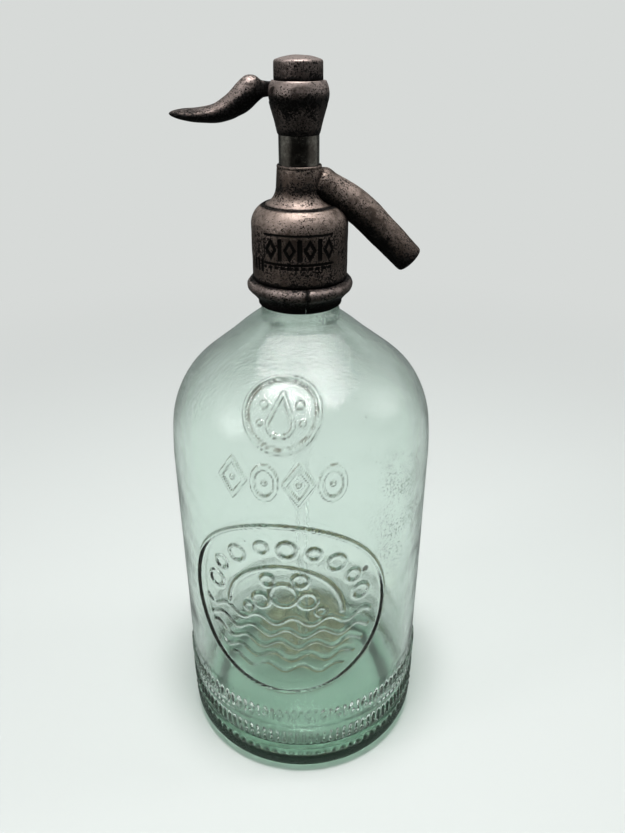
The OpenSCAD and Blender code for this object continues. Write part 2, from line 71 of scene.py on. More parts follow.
# Raised or cut line: 1 within half its width of the line, soft at its edge
def stroke(distance, half, soft=0.38):
    t = np.clip((half + soft - np.abs(distance)) / (2 * soft), 0, 1)
    return t * t * (3 - 2 * t)


# Smooth unevenness between -1 and 1 from a few sine waves, for sizes in mm
def uneven(co, size, seed):
    total = 0
    waves = 5
    for k in range(waves):
        way = [math.sin(seed + 1.7 * k), math.cos(1.3 * seed + 2.9 * k), math.sin(0.7 * seed + 4.1 * k)]
        rate = 2 * math.pi / size * (0.7 + 0.25 * k)
        total = total + np.sin(co @ np.array(way) * rate + seed * 3 + k * 1.9)
    return total / waves


# Spins a profile in few steps, cuts each step finer and sets the new points back on their circles
def spinWire(bm, wire, steps, angle=360.0, start=0.0, fine=8):
    turn, whole, coarse = math.radians(start), math.radians(angle), steps // fine
    own = bmesh.new()
    verts = [own.verts.new((r * math.cos(turn), r * math.sin(turn), z)) for r, z in wire]
    edges = [own.edges.new(pair) for pair in zip(verts, verts[1:])]
    bmesh.ops.spin(own, geom=verts + edges, cent=(0, 0, 0), axis=(0, 0, 1), dvec=(0, 0, 0),
                   angle=whole, steps=coarse, use_merge=angle > 359, use_duplicate=False)
    ends = [[v.co for v in e.verts] for e in own.edges]
    hoops = [e for e, (a, b) in zip(own.edges, ends)
             if abs(a.z - b.z) < 1e-5 and abs(a.xy.length - b.xy.length) < 1e-4]
    bmesh.ops.subdivide_edges(own, edges=hoops, cuts=fine - 1, use_grid_fill=True)
    co = getCo(own.verts)
    half = whole / coarse / 2
    swing = (np.arctan2(co[:, 1], co[:, 0]) - turn + 1e-5) % (2 * half) - half
    co[:, :2] *= (np.cos(swing) / math.cos(half))[:, None]
    setCo(own.verts, co)
    bmesh.ops.remove_doubles(own, verts=own.verts, dist=weld)
    spun = bpy.data.meshes.new("spun")
    own.to_mesh(spun)
    own.free()
    known = set(bm.verts)
    bm.from_mesh(spun)
    bpy.data.meshes.remove(spun)
    return [v for v in bm.verts if v not in known]


def getCo(verts):
    return np.array([v.co for v in verts], float).reshape(-1, 3)


def setCo(verts, co):
    for v, c in zip(verts, co):
        v.co = c


def fromAxis(co):
    return np.hypot(co[:, 0], co[:, 1])


# Sets points nearer to or farther from the axis
def widen(co, factor):
    co[:, :2] *= factor[:, None]


# Makes the finished piece: merged, faces outward, in metres, riding on its body
def finishPiece(name, bm, body, nodes, material, grimeAndShade=None):
    facingShade = 0.13  # painted shade and light: faces that look down get darker, faces that look up lighter
    bmesh.ops.remove_doubles(bm, verts=bm.verts, dist=weld)
    bmesh.ops.recalc_face_normals(bm, faces=bm.faces)
    if grimeAndShade is not None:
        layer = bm.verts.layers.float.new("grimeAndShade")
        bm.normal_update()
        for v, g in zip(bm.verts, grimeAndShade(getCo(bm.verts))):
            # painted shade on faces that look down, painted light on faces that look up
            v[layer] = float(g) - facingShade * v.normal.z
    bmesh.ops.scale(bm, vec=(mm, mm, mm), verts=bm.verts)
    mesh = bpy.data.meshes.new(name)
    bm.to_mesh(mesh)
    bm.free()
    mesh.shade_smooth()
    obj = bpy.data.objects.new(name, mesh)
    bpy.context.scene.collection.objects.link(obj)
    mesh.materials.append(material)
    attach(obj, body)
    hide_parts(*nodes)
    print("made", name, len(mesh.polygons))
    return obj


# Materials. Colours are given in sRGB and turned linear here
def linear(code):
    rgb = [int(code[i:i + 2], 16) / 255 for i in (1, 3, 5)]
    return [c / 12.92 if c <= 0.04045 else ((c + 0.055) / 1.055) ** 2.4 for c in rgb] + [1.0]


# Adds a node with its settings and links, and gives one of its outputs. Inputs go by name, or in their order
def addNode(tree, kind, inputs=(), output=0, **settings):
    made = tree.nodes.new("ShaderNode" + kind)
    for key, value in settings.items():
        setattr(made, key, value)
    for key, value in inputs.items() if isinstance(inputs, dict) else enumerate(inputs):
        if isinstance(value, bpy.types.NodeSocket):
            tree.links.new(value, made.inputs[key])
        else:
            made.inputs[key].default_value = value
    return made.outputs[output] if made.outputs else None


def newMaterial(name):
    material = bpy.data.materials.new(name)
    material.use_nodes = True
    material.node_tree.nodes.clear()
    return material, material.node_tree


# settings that come back: a range with soft ends, and the kinds of sum. The first is a times b plus c
soft, colours = {"interpolation_type": "SMOOTHSTEP"}, {"data_type": "RGBA"}
weigh, times, most = [{"operation": kind} for kind in ("MULTIPLY_ADD", "MULTIPLY", "MAXIMUM")]


# Aged cast metal: bright worn skin, brown patina in patches, black pits and scratches. The piece's grime and
# painted shade attribute adds to patina and pits, so its painted shade darkens the metal. Higher patina and pits
# cover more. Scratch draws its lines out along the axes whose values are small
def agedMetal(name, bright, mid, dark, patina, pits, polish, scratch=(0.3, 0.3, 3.5), strength=0.6):
    material, tree = newMaterial(name)
    place = addNode(tree, "TexCoord", output="Object")
    drawn = addNode(tree, "Mapping", {"Vector": place, "Scale": scratch})
    grimeAndShade = addNode(tree, "Attribute", output="Fac", attribute_name="grimeAndShade")
    # each pattern's size in mm, detail and roughness
    kinds = ((place, 8, 4, 0.6), (place, 1.6, 6, 0.75), (place, 0.7, 4, 0.7), (drawn, 0.9, 4, 0.7))
    broad, fine, speck, lines = [
        addNode(tree, "TexNoise", {"Vector": at, "Scale": 1 / (size * mm), "Detail": detail,
                                   "Roughness": rough})
        for at, size, detail, rough in kinds
    ]
    worn = addNode(tree, "Math", (broad, 1.0, fine), **weigh)
    # the grime and painted shade attribute darkens the skin here, and the patina and pits below: painted shade
    worn = addNode(tree, "Math", (grimeAndShade, -1.1, worn), **weigh)
    worn = addNode(tree, "MapRange", (worn, 0.80, 1.20), **soft)
    skin = addNode(tree, "Mix", {0: worn, 6: linear(mid), 7: linear(bright)}, 2, **colours)
    dirt = addNode(tree, "Math", (broad, 0.5, fine), **weigh)
    dirt = addNode(tree, "Math", (grimeAndShade, 1.0, dirt), **weigh)
    dirt = addNode(tree, "MapRange", (dirt, 0.92 - patina, 1.06 - patina), **soft)
    skin = addNode(tree, "Mix", {0: dirt, 6: skin, 7: linear(dark)}, 2, **colours)
    hole = addNode(tree, "Math", (broad, 0.45, speck), **weigh)
    hole = addNode(tree, "Math", (grimeAndShade, 0.35, hole), **weigh)
    hole = addNode(tree, "MapRange", (hole, 0.84 - pits, 0.89 - pits), **soft)
    scar = addNode(tree, "Math", (broad, 0.3, lines), **weigh)
    scar = addNode(tree, "MapRange", (scar, 0.83 - pits, 0.87 - pits, 0.0, 0.85), **soft)
    hole = addNode(tree, "Math", (hole, scar), **most)
    colour = addNode(tree, "Mix", {0: hole, 6: skin, 7: linear("#0b0908")}, 2, **colours)
    # dirt, and the attribute's grime and painted shade, are dull and no metal shows in them
    dull = addNode(tree, "Math", (fine, 0.22, polish), **weigh)
    dull = addNode(tree, "Math", (dirt, 0.2, dull), **weigh)
    plain = addNode(tree, "Math", (hole, addNode(tree, "MapRange", (grimeAndShade, 0.5, 0.9), **soft)), **most)
    plain = addNode(tree, "Math", (plain, addNode(tree, "Math", (dirt, 0.5), **times)), **most)
    metal = addNode(tree, "MapRange", (plain, 0.0, 1.0, 1.0, 0.1), **soft)
    gloss = addNode(tree, "Math", (hole, addNode(tree, "Math", (grimeAndShade, 0.7), **times)), **most)
    gloss = addNode(tree, "MapRange", (gloss, 0.1, 1.0, 0.45, 0.05), **soft)
    height = addNode(tree, "Math", (speck, 0.35, addNode(tree, "Math", (fine, 0.6), **times)), **weigh)
    height = addNode(tree, "Math", (hole, -0.7, height), **weigh)
    bump = addNode(tree, "Bump", {"Height": height, "Strength": strength, "Distance": 0.28 * mm})
    shader = addNode(tree, "BsdfPrincipled", {"Base Color": colour, "Metallic": metal, "Roughness": dull,
                                              "Specular IOR Level": gloss, "Normal": bump})
    addNode(tree, "OutputMaterial", {"Surface": shader})
    return material


# Clean turned metal of the inner pieces, with fine lathe lines
def turnedMetal(name, colour, shade, rough):
    material, tree = newMaterial(name)
    place = addNode(tree, "TexCoord", output="Object")
    along = addNode(tree, "Mapping", {"Vector": place, "Scale": (0.15, 0.15, 5.0)})
    lines, patch = [
        addNode(tree, "TexNoise", {"Vector": at, "Scale": 1 / (size * mm), "Detail": detail,
                                   "Roughness": rougher})
        for at, size, detail, rougher in ((along, 1.0, 2, 0.5), (place, 5, 3, 0.55))
    ]
    shaded = addNode(tree, "MapRange", (patch, 0.35, 0.7), **soft)
    mixed = addNode(tree, "Mix", {0: shaded, 6: linear(colour), 7: linear(shade)}, 2, **colours)
    dull = addNode(tree, "MapRange", (patch, 0.3, 0.8, rough, rough + 0.15), **soft)
    bump = addNode(tree, "Bump", {"Height": lines, "Strength": 0.25, "Distance": 0.05 * mm})
    shader = addNode(tree, "BsdfPrincipled", {"Base Color": mixed, "Metallic": 1.0, "Roughness": dull,
                                              "Normal": bump})
    addNode(tree, "OutputMaterial", {"Surface": shader})
    return material


# Rubber and fibre: an even tone with grain of one size, in mm
def softSolid(name, colour, shade, rough, size):
    material, tree = newMaterial(name)
    place = addNode(tree, "TexCoord", output="Object")
    grain = addNode(tree, "TexNoise", {"Vector": place, "Scale": 1 / (size * mm), "Detail": 4,
                                       "Roughness": 0.7})
    shaded = addNode(tree, "MapRange", (grain, 0.35, 0.65), **soft)
    mixed = addNode(tree, "Mix", {0: shaded, 6: linear(colour), 7: linear(shade)}, 2, **colours)
    bump = addNode(tree, "Bump", {"Height": grain, "Strength": 0.3, "Distance": 0.1 * mm})
    shader = addNode(tree, "BsdfPrincipled", {"Base Color": mixed, "Roughness": rough, "Normal": bump})
    addNode(tree, "OutputMaterial", {"Surface": shader})
    return material


# Places on the bottle, in metres, and the tones of what covers it
soil = {
    "scaleAt": (0.001, 0.027, 0), "scaleR": (0.021, 0.031), "spotAt": (0.0255, -0.0498, 0.1168),
    "spotR": (0.0010, 0.0019), "patchX": (0.020, 0.044), "patchLow": (0.10, 0.125),
    "patchHigh": (0.150, 0.172), "dirt": "#4d4739", "lime": "#c9bda4", "limeDark": "#6f644e",
}


# Covers clean glass: lime scale on its floor, dirt along raised lines, in a patch at the right and in specks
def soiled(tree, place, clean):
    at = addNode(tree, "SeparateXYZ", (place,)).node.outputs
    # each pattern's size in mm, detail and roughness
    kinds = ((8, 6, 0.7), (1.1, 4, 0.7), (5, 3, 0.55), (12, 3, 0.55), (3.2, 2, 0.55), (2.2, 5, 0.75))
    cake, fleck, streak, cloud, stray, chalk = [
        addNode(tree, "TexNoise", {"Vector": place, "Scale": 1 / (size * mm), "Detail": detail,
                                   "Roughness": rough})
        for size, detail, rough in kinds
    ]
    reach = addNode(tree, "VectorMath", (place, soil["scaleAt"]), operation="SUBTRACT")
    reach = addNode(tree, "VectorMath", (reach, (1, 1, 0)), **times)
    reach = addNode(tree, "VectorMath", (reach,), "Value", operation="LENGTH")
    reach = addNode(tree, "MapRange", (reach, *soil["scaleR"], 1.0, 0.0), **soft)
    onFloor = addNode(tree, "Attribute", output="Fac", attribute_name="floor")
    zone = addNode(tree, "Math", (onFloor, reach), **times)
    cake = addNode(tree, "MapRange", (cake, 0.34, 0.56, 0.3, 1.0), **soft)
    crust = addNode(tree, "Math", (zone, cake), **times)
    # along the raised lines, more of it above the middle
    edge = addNode(tree, "Attribute", output="Fac", attribute_name="edge")
    caught = addNode(tree, "Math", (edge, addNode(tree, "MapRange", (streak, 0.25, 0.65), **soft)), **times)
    higher = addNode(tree, "MapRange", (at["Z"], 0.12, 0.15, 0.45, 0.85), **soft)
    caught = addNode(tree, "Math", (caught, higher), **times)
    patch = addNode(tree, "MapRange", (at["X"], *soil["patchX"]), **soft)
    ends = (at["Z"], *soil["patchLow"]), (at["Z"], *soil["patchHigh"], 1.0, 0.0), (cloud, 0.42, 0.6, 0.0, 0.6)
    for limits in ends:
        patch = addNode(tree, "Math", (patch, addNode(tree, "MapRange", limits, **soft)), **times)
    stray = addNode(tree, "MapRange", (stray, 0.70, 0.73, 0.0, 0.5), **soft)
    fleck = addNode(tree, "MapRange", (fleck, 0.52, 0.64), **soft)
    spot = addNode(tree, "VectorMath", (place, soil["spotAt"]), "Value", operation="DISTANCE")
    spot = addNode(tree, "MapRange", (spot, *soil["spotR"], 0.85, 0.0), **soft)
    amount = addNode(tree, "Math", (fleck, addNode(tree, "Math", (patch, stray), **most)), **times)
    for more in (spot, caught):
        amount = addNode(tree, "Math", (amount, more), **most)
    dirt = addNode(tree, "BsdfPrincipled", {"Base Color": linear(soil["dirt"]), "Roughness": 0.8})
    chalk = addNode(tree, "MapRange", (chalk, 0.50, 0.58), **soft)
    limes = {0: chalk, 6: linear(soil["lime"]), 7: linear(soil["limeDark"])}
    lime = addNode(tree, "Mix", limes, 2, **colours)
    scale = addNode(tree, "BsdfDiffuse", {"Color": lime})
    scale = addNode(tree, "MixShader", (0.5, scale, addNode(tree, "BsdfTranslucent", {"Color": lime})))
    return addNode(tree, "MixShader", (crust, addNode(tree, "MixShader", (amount, clean, dirt)), scale))


# Clear glass with a body tint by depth. A grainy one is rough on its shoulder
def glass(name, tint, depthColour, density, grainy, dirty):
    material, tree = newMaterial(name)
    place = addNode(tree, "TexCoord", output="Object")
    # each pattern's size in mm, detail and roughness
    grain, waves = [
        addNode(tree, "TexNoise", {"Vector": place, "Scale": 1 / (size * mm), "Detail": detail,
                                   "Roughness": rough})
        for size, detail, rough in ((0.95, 3, 0.65), (16, 2, 0.4))
    ]
    high = addNode(tree, "SeparateXYZ", (place,), "Z")
    shoulder = addNode(tree, "MapRange", (high, 0.160, 0.205, 0.04 * grainy, grainy), **soft)
    height = addNode(tree, "Math", (grain, shoulder, addNode(tree, "Math", (waves, 1.2), **times)), **weigh)
    bump = addNode(tree, "Bump", {"Height": height, "Strength": 0.5, "Distance": 0.25 * mm})
    shader = addNode(tree, "BsdfPrincipled", {"Base Color": linear(tint), "Roughness": 0.012, "IOR": 1.52,
                                              "Transmission Weight": 1.0, "Normal": bump})
    if dirty:
        shader = soiled(tree, place, shader)
    # shadow rays pass, because a renderer without caustics would leave the floor under the glass black
    passed = addNode(tree, "BsdfTransparent", {"Color": linear("#bdc8c2")})
    shader = addNode(tree, "MixShader", (addNode(tree, "LightPath", output="Is Shadow Ray"), shader, passed))
    depth = addNode(tree, "VolumeAbsorption", {"Color": linear(depthColour), "Density": density})
    addNode(tree, "OutputMaterial", {"Surface": shader, "Volume": depth})
    return material


# cast pewter, worn and tarnished
pewter = agedMetal("agedPewter", "#8f8078", "#4b413b", "#15110f", 0.10, 0.08, 0.44)
# cast pewter with more tarnish and pits
pewterDark = agedMetal("tarnishedPewter", "#8a7d78", "#423a37", "#120f0e", 0.14, 0.09, 0.4)
# worn nickel plating, scratched round the barrel
nickel = agedMetal("wornNickel", "#a8a097", "#6a625b", "#1c1816", -0.04, 0.0, 0.1, (0.12, 0.12, 2.4), 0.12)
brass = turnedMetal("turnedBrass", "#c8a764", "#96773c", 0.25)  # machined brass of the valve
steel = turnedMetal("springSteel", "#b9b9b6", "#8b8b88", 0.3)  # drawn wire
rubber = softSolid("blackRubber", "#26231f", "#393530", 0.75, 1.2)  # moulded seals
fibre = softSolid("pressedFibre", "#6b3f27", "#4d2c1b", 0.8, 0.5)  # red vulcanised fibre
bottleGlass = glass("pressedGlass", "#fbfffd", "#9fd6bb", 24.0, 3.3, True)  # soda-lime glass, pale green
tubeGlass = glass("drawnGlass", "#ffffff", "#d8f0e6", 8.0, 0.0, False)  # thin clear tube
print("materials ready")

# Glass bottle, in millimetres and degrees
bottle = {
    "bodyR": 56, "wall": 4.5, "wallTop": 145, "leanR": 161.48, "leanAngle": 6.4, "shoulderR": 40,
    "shoulderC": (15.25, 158.54), "shoulderAngle": 50, "innerAngle": 57,
    "rootZ": 210.542, "innerRootZ": 204.928,
    "neckR": 15.5, "beadR": 16.6, "beadZ": 227.942, "mouthZ": 233.942, "boreR": 9, "rootR": 3, "heelR": 8,
    "standR": 40, "puntH": 9, "floorT": 7, "floorR": 12,
    "panelTurn": -6, "panelLow": 150, "panelZ": 207.142, "panelNeckR": 15.7, "panelSlope": 53.8,
    "panelShift": 17,
    # heights between which the glass stands proud or lies low, and over which that fades in and out
    "fadeLow": 8.5, "fadeLowH": 3, "fadeTop": 202, "fadeTopH": 6,
    "ridge": 0.55, "emblemTurn": -8, "emblemReach": 75, "raise": 0.9, "sink": 0.55,
    # rows and steps of the mesh: the foot, the embossed wall, and the rest
    "lowStart": 8.9, "lowTop": 43.2, "lowRows": 39, "lowSteps": 560,
    "midStart": 44.0, "midTop": 199.5, "midStep": 0.78, "midSteps": 264, "restStep": 0.9, "restSteps": 112,
    # the wall's steps are closer round the emblem: half its width, how soon they widen, both step lengths
    "denseReach": 58, "denseSoft": 2.5, "denseStep": 0.56, "wideStep": 3.2, "innerStep": 3.4,
}


def outerProfile():
    b = bottle
    root = b["rootR"]
    lift = root * math.tan(math.radians(b["shoulderAngle"] / 2))
    return (
        [(b["bodyR"], b["heelR"]), (b["bodyR"], b["wallTop"])]
        + arc(b["bodyR"] - b["leanR"], b["wallTop"], b["leanR"], 0, b["leanAngle"], 20)
        + arc(*b["shoulderC"], b["shoulderR"], b["leanAngle"], b["shoulderAngle"], 60)
        + arc(b["neckR"] + root, b["rootZ"] + lift, root, 180 + b["shoulderAngle"], 180, 12)
        + [(b["neckR"], b["beadZ"])]
    )


outline = np.array(outerProfile())
outlineZ = outline[:, 1]
outlineS = np.r_[0, np.cumsum(np.hypot(*np.diff(outline, axis=0).T))] + bottle["heelR"]


def between(low, high, step):
    keep = [(r, z) for r, z in resample(list(map(tuple, outline)), 0.05) if low <= z <= high]
    return resample(keep, step)


# Azimuth is measured from the front, towards the spout, in degrees
def azimuth(co):
    return np.degrees(np.arctan2(co[:, 0], -co[:, 1]))


# Cuts the flat shoulder panels, with soft ridges between them
def panelled(co):
    b = bottle
    r = fromAxis(co)
    z = co[:, 2]
    slope = math.tan(math.radians(b["panelSlope"]))
    reach = b["panelNeckR"] + b["panelShift"] + np.maximum(0, b["panelZ"] - z) * slope
    total = np.ones(len(r))
    for k in range(4):
        phi = np.radians(azimuth(co) - (-b["panelTurn"] + 90 * k))
        edge = reach ** 2 - (b["panelShift"] * np.sin(phi)) ** 2
        flat = np.sqrt(np.maximum(edge, 0)) - b["panelShift"] * np.cos(phi)
        cut = np.where(z > b["panelLow"], flat, 1e3)
        total = total + np.exp(-np.clip(cut - r, -30, 30) / b["ridge"])
    return np.maximum(r - b["ridge"] * np.log(total), 2)


# Generic raised design, across and up along the glass from the middle of the front
design = {
    "medal": (-1, 187.2), "medalR": 14.3, "medalInR": 12.6, "drop": (-1, 183.6), "dropR": 4.9, "dropH": 11.6,
    "medalDots": [(-7.9, 190.2, 1.6), (5.6, 190.6, 1.6), (-8.9, 183.2, 1.1), (7.3, 183.8, 1.2)],
    "row": (-19.5, -6.5, 6.5, 19.5), "rowV": 160.5, "ringV": 97.5, "ringR": 44.2, "archR": 24.5,
    "waves": 5, "waveR": 38.2, "waveTop": 94.5, "waveGap": 6.6, "waveLong": 15, "waveHigh": 1.9,
    "bubbles": [
        (0, 108, 5.6), (-9.5, 104, 3.4), (9.8, 105.5, 3.9), (-6.4, 114.8, 2.7), (6.8, 115.6, 3.1),
        (-31, 107, 3.8), (-27.6, 117.2, 3.0), (-19.5, 125, 3.6), (-8.6, 130.4, 2.8), (1.6, 130.6, 3.7),
        (12.2, 128.6, 2.7), (21.4, 123.4, 3.7), (28.6, 115.4, 2.9), (32.2, 106, 3.5), (-14.8, 98.9, 2.0),
        (15.4, 99.4, 2.2),
    ],
}


# Medallion, a row of outlined shapes, and a ring with waves and bubbles
def frontDesign(u, v):
    d = design
    x, y = np.abs(u - d["drop"][0]), v - d["drop"][1]
    cone = (x - d["dropR"] * (1 - y / d["dropH"])) * 0.92
    cone = np.where(y < d["dropH"], cone, np.hypot(x, y - d["dropH"]))
    drop = np.where(y < 0, np.hypot(x, y) - d["dropR"], cone)
    medal = np.hypot(u - d["medal"][0], v - d["medal"][1])
    lines = [stroke(medal - d["medalR"], 0.75), stroke(drop, 0.75)]
    lines.append(stroke(medal - d["medalInR"], 0.3, 0.3) * 0.6)
    for x, y, r in d["medalDots"]:
        lines.append(stroke(np.hypot(u - x, v - y), r, 0.5))
    for k, x in enumerate(d["row"]):
        dx, dy = u - x, v - d["rowV"]
        lozenge = np.abs(dx) / 5.2 + np.abs(dy) / 7.6 - 1
        oval = np.hypot(dx / 4.6, dy / 6.4) - 1
        lines.append(stroke((oval if k % 2 else lozenge) * 4.4, 0.85))
        lines.append(stroke(np.hypot(dx, dy), 1.0, 0.5))
    ring = np.hypot(u, v - d["ringV"])
    lines += [stroke(ring - d["ringR"], 0.7), stroke(ring - d["archR"], 0.5) * (v > d["ringV"]) * 0.7]
    for k in range(d["waves"]):
        level = d["waveHigh"] * np.sin(2 * math.pi * u / d["waveLong"] + 1.2 * k)
        level = v - (d["waveTop"] - d["waveGap"] * k) - level
        lines.append(stroke(level / 1.25, 0.6) * (ring < d["waveR"]) * 0.55)
    for x, y, r in d["bubbles"]:
        lines.append(stroke(np.hypot(u - x, v - y) - r, 0.5, 0.35) * (0.8 if r > 2.6 else 0.6))
    return np.max(lines, axis=0)


footZ = {"bars": 37.2, "ribs": 23.2, "beads": 12.9, "lines": (30.2, 17.2), "half": 3.4}


# Three bands all round the foot of the wall
def footBands(u, z):
    f = footZ
    bars = stroke((u + 3.4) % 6.8 - 3.4, 0.7, 0.4) * stroke(z - f["bars"], f["half"])
    gems = stroke((np.abs(u % 6.8 - 3.4) / 1.7 + np.abs(z - f["bars"]) / 3.2 - 1) * 1.5, 0.5, 0.4)
    ribs = stroke((u % 3.2) - 1.6, 0.65, 0.4) * stroke(z - f["ribs"], f["half"])
    beads = stroke(np.hypot((u % 4.1) - 2.05, z - f["beads"]), 1.1, 0.6)
    lines = sum(stroke(z - at, 0.35, 0.35) * 0.7 for at in f["lines"])
    return np.maximum.reduce([bars, gems, ribs, beads, lines])


def fromEmblem(co):
    return (azimuth(co) - bottle["emblemTurn"] + 180) % 360 - 180


# Panels and raises one spun part: the embossed wall if fineFront is set, otherwise the foot
def shapeBottle(verts, fineFront, layer):
    b = bottle
    co = getCo(verts)
    if fineFront:
        spread = np.linspace(-180, 180, 7201)
        dense = 1 / (1 + np.exp((np.abs(spread) - b["denseReach"]) / b["denseSoft"]))
        count = np.r_[0, np.cumsum(dense / b["denseStep"] + (1 - dense) / b["wideStep"])][:-1]
        count = count / count[-1] * 360 - 180
        az = np.interp(fromEmblem(co), count, spread) + b["emblemTurn"]
        r = fromAxis(co)
        co[:, 0], co[:, 1] = r * np.sin(np.radians(az)), -r * np.cos(np.radians(az))
    r = panelled(co)
    z = co[:, 2]
    turned = fromEmblem(co)
    if fineFront:
        pattern = frontDesign(np.radians(turned) * r, np.interp(z, outlineZ, outlineS))
        up = b["raise"] * (pattern * (np.abs(turned) < b["emblemReach"]))
    else:
        up = b["raise"] * footBands(np.radians(turned) * b["bodyR"], z)
    fade = np.clip((z - b["fadeLow"]) / b["fadeLowH"], 0, 1)
    fade = fade * np.clip((b["fadeTop"] - z) / b["fadeTopH"], 0, 1)
    move = (up - b["sink"]) * fade + 0.10 * uneven(co, 46, 2.0) * fade
    level = np.clip(up / b["raise"], 0, 1)
    for v, e in zip(verts, 4 * level * (1 - level) * fade):
        v[layer] = float(e)
    out, along = np.gradient(outline[:, 0]), np.gradient(outline[:, 1])
    slope = np.interp(z, outlineZ, np.degrees(np.arctan2(along, out)))
    tip = np.radians(np.clip(slope - 90, 0, 60))
    widen(co, (r + move * np.cos(tip)) / fromAxis(co))
    co[:, 2] += move * np.sin(tip)
    setCo(verts, co)


# The inside, from the mouth's bore down to the middle of the floor
def innerProfile():
    b = bottle
    root = b["rootR"] + 1
    lift = root * math.tan(math.radians(b["innerAngle"] / 2))
    floorTop, crown = b["floorT"] + b["floorR"], b["puntH"] + b["floorT"]
    return (
        arc(b["boreR"] + root, b["innerRootZ"] + lift, root, 180, 180 + b["innerAngle"], 8)
        + arc(*b["shoulderC"], b["shoulderR"] - b["wall"], b["innerAngle"], b["leanAngle"], 24)
        + arc(b["bodyR"] - b["leanR"], b["wallTop"], b["leanR"] - b["wall"], b["leanAngle"], 0, 4)
        + arc(b["bodyR"] - b["wall"] - b["floorR"], floorTop, b["floorR"], 0, -90, 12)
        + bend((b["standR"], b["floorT"]), (b["standR"] * 0.55, crown), (0, crown), 12)
    )


def makeBottle():
    b = bottle
    bm = bmesh.new()
    layer = bm.verts.layers.float.new("edge")
    floor = bm.verts.layers.float.new("floor")
    rows = np.linspace(b["lowStart"], b["lowTop"], b["lowRows"])
    low = spinWire(bm, [(b["bodyR"], z) for z in rows], b["lowSteps"], fine=14)
    mid = spinWire(bm, between(b["midStart"], b["midTop"], b["midStep"]), b["midSteps"])
    shapeBottle(low, False, layer)
    shapeBottle(mid, True, layer)
    edge = 1  # radius of the bead's and the mouth's edges
    top = (
        between(b["midTop"] + b["restStep"], b["beadZ"] - 0.01, b["restStep"])
        + arc(b["beadR"] - edge, b["beadZ"] + edge, edge, -90, 0, 5)
        + arc(b["beadR"] - edge, b["mouthZ"] - edge, edge, 0, 90, 5)
        + arc(b["boreR"] + edge, b["mouthZ"] - edge, edge, 90, 180, 5)
    )
    upper = spinWire(bm, top + resample(innerProfile(), b["innerStep"]), b["restSteps"])
    for v in upper:
        v[floor] = float(b["floorT"] - 0.1 < v.co.z < b["floorT"] + b["floorR"])
    co = getCo(upper)
    skin = fromAxis(co) > np.interp(co[:, 2], outlineZ, outline[:, 0]) - 1.5
    skin &= (co[:, 2] > b["midTop"] + 0.5) & (co[:, 2] < b["beadZ"] - 3)
    shapeTop([v for v, k in zip(upper, skin) if k])
    foot = (
        bend((0, b["puntH"]), (b["standR"] * 0.55, b["puntH"]), (b["standR"], 0), 16)
        + arc(b["bodyR"] - b["heelR"], b["heelR"], b["heelR"], -90, -4, 14)
    )
    under = spinWire(bm, foot, b["restSteps"])
    for lower, higher in ((under, low), (low, mid), (mid, upper)):
        joinRings(bm, lower, higher)
    finishPiece("glassBottle", bm, "siphon", ["glass_bottle"], bottleGlass)


# Panels the bottle's top, which has no pattern
def shapeTop(verts):
    b = bottle
    co = getCo(verts)
    new = panelled(co) - b["sink"] * np.clip((b["fadeTop"] - co[:, 2]) / b["fadeTopH"], 0, 1)
    widen(co, new / fromAxis(co))
    setCo(verts, co)


# Bridges the open upper ring of one spun part to the open lower ring of the next
def joinRings(bm, lower, upper):
    def rings(verts):
        own = set(verts)
        return {e for v in verts for e in v.link_edges if e.is_boundary and own.issuperset(e.verts)}

    def height(e):
        return (e.verts[0].co.z + e.verts[1].co.z) / 2

    # nearest in height, and of two at one height the one nearer to the wall
    def offset(e):
        return abs(height(e) - topZ) + abs(e.verts[0].co.xy.length - wall) * 0.001

    wall = bottle["bodyR"] - 6
    spread = 2.5  # how much a ring's height varies, at most
    a, c = rings(lower), rings(upper)
    topZ = max(height(e) for e in a)
    lowZ = height(min(c, key=offset))
    first = [e for e in a if height(e) > topZ - spread]
    second = [e for e in c if abs(height(e) - lowZ) < spread]
    bmesh.ops.bridge_loops(bm, edges=first + second)


makeBottle()


# Cast and turned metal. Grime and painted shade gather near a place, below it or above it, between 0 and 1
def near(value, centre, width):
    return np.clip(1 - np.abs(value - centre) / width, 0, 1)


def below(value, at, soft):
    return np.clip((at - value) / soft, 0, 1)


def above(value, at, soft):
    return np.clip((value - at) / soft, 0, 1)


# Unevenness of several sizes: depth, size in mm and seed of each
def dented(co, dents):
    return sum(depth * uneven(co, size, seed) for depth, size, seed in dents)


head = {
    "skirtR": 18.5, "skirtZ": 222.742, "domeR": 8.2, "domeZ": 242.942, "scribeR": 14.0, "scribeZ": 250.26,
    "neckR": 8.85, "rimR": 8.4, "topZ": 264.242, "ledgeZ": 260.542, "tailR": 6.28, "chamberR": 5.2,
    "chamberZ": 242.942, "seatR": 2.7, "recessZ": 239.142, "recessR": 9.9, "seatZ": 235.942, "boreR": 16.95,
    "crest": 63.2,  # how far up the dome turns, in degrees
    "dents": [(0.12, 17, 5.0), (0.05, 5, 1.0)], "sunk": 0.1,
    # darker: painted shade up to a height and where the skirt ends, darker on the neck, grime and painted shade
    # in the groove outside a radius, grime round the spout's root, painted shade in the bore, and least at one
    # height: a painted highlight round the dome
    "shadeTop": 242, "darkNeck": (253, 263.2), "grooveInR": 10, "rootAt": (10, 252), "rootReach": 9,
    "insideR": 7.9, "brightZ": 247.5,
    # frieze: its height, pitch and engraved depth, and middle and half its spread in degrees
    "bandLow": 231.6, "bandHigh": 242.2, "pitch": 7.6, "engraved": 0.28, "bandTurn": -2, "bandHalf": 44,
    "marksZ": 230.2, "marksPitch": 2.1, "marksTurn": -58, "marksHalf": 11,
}


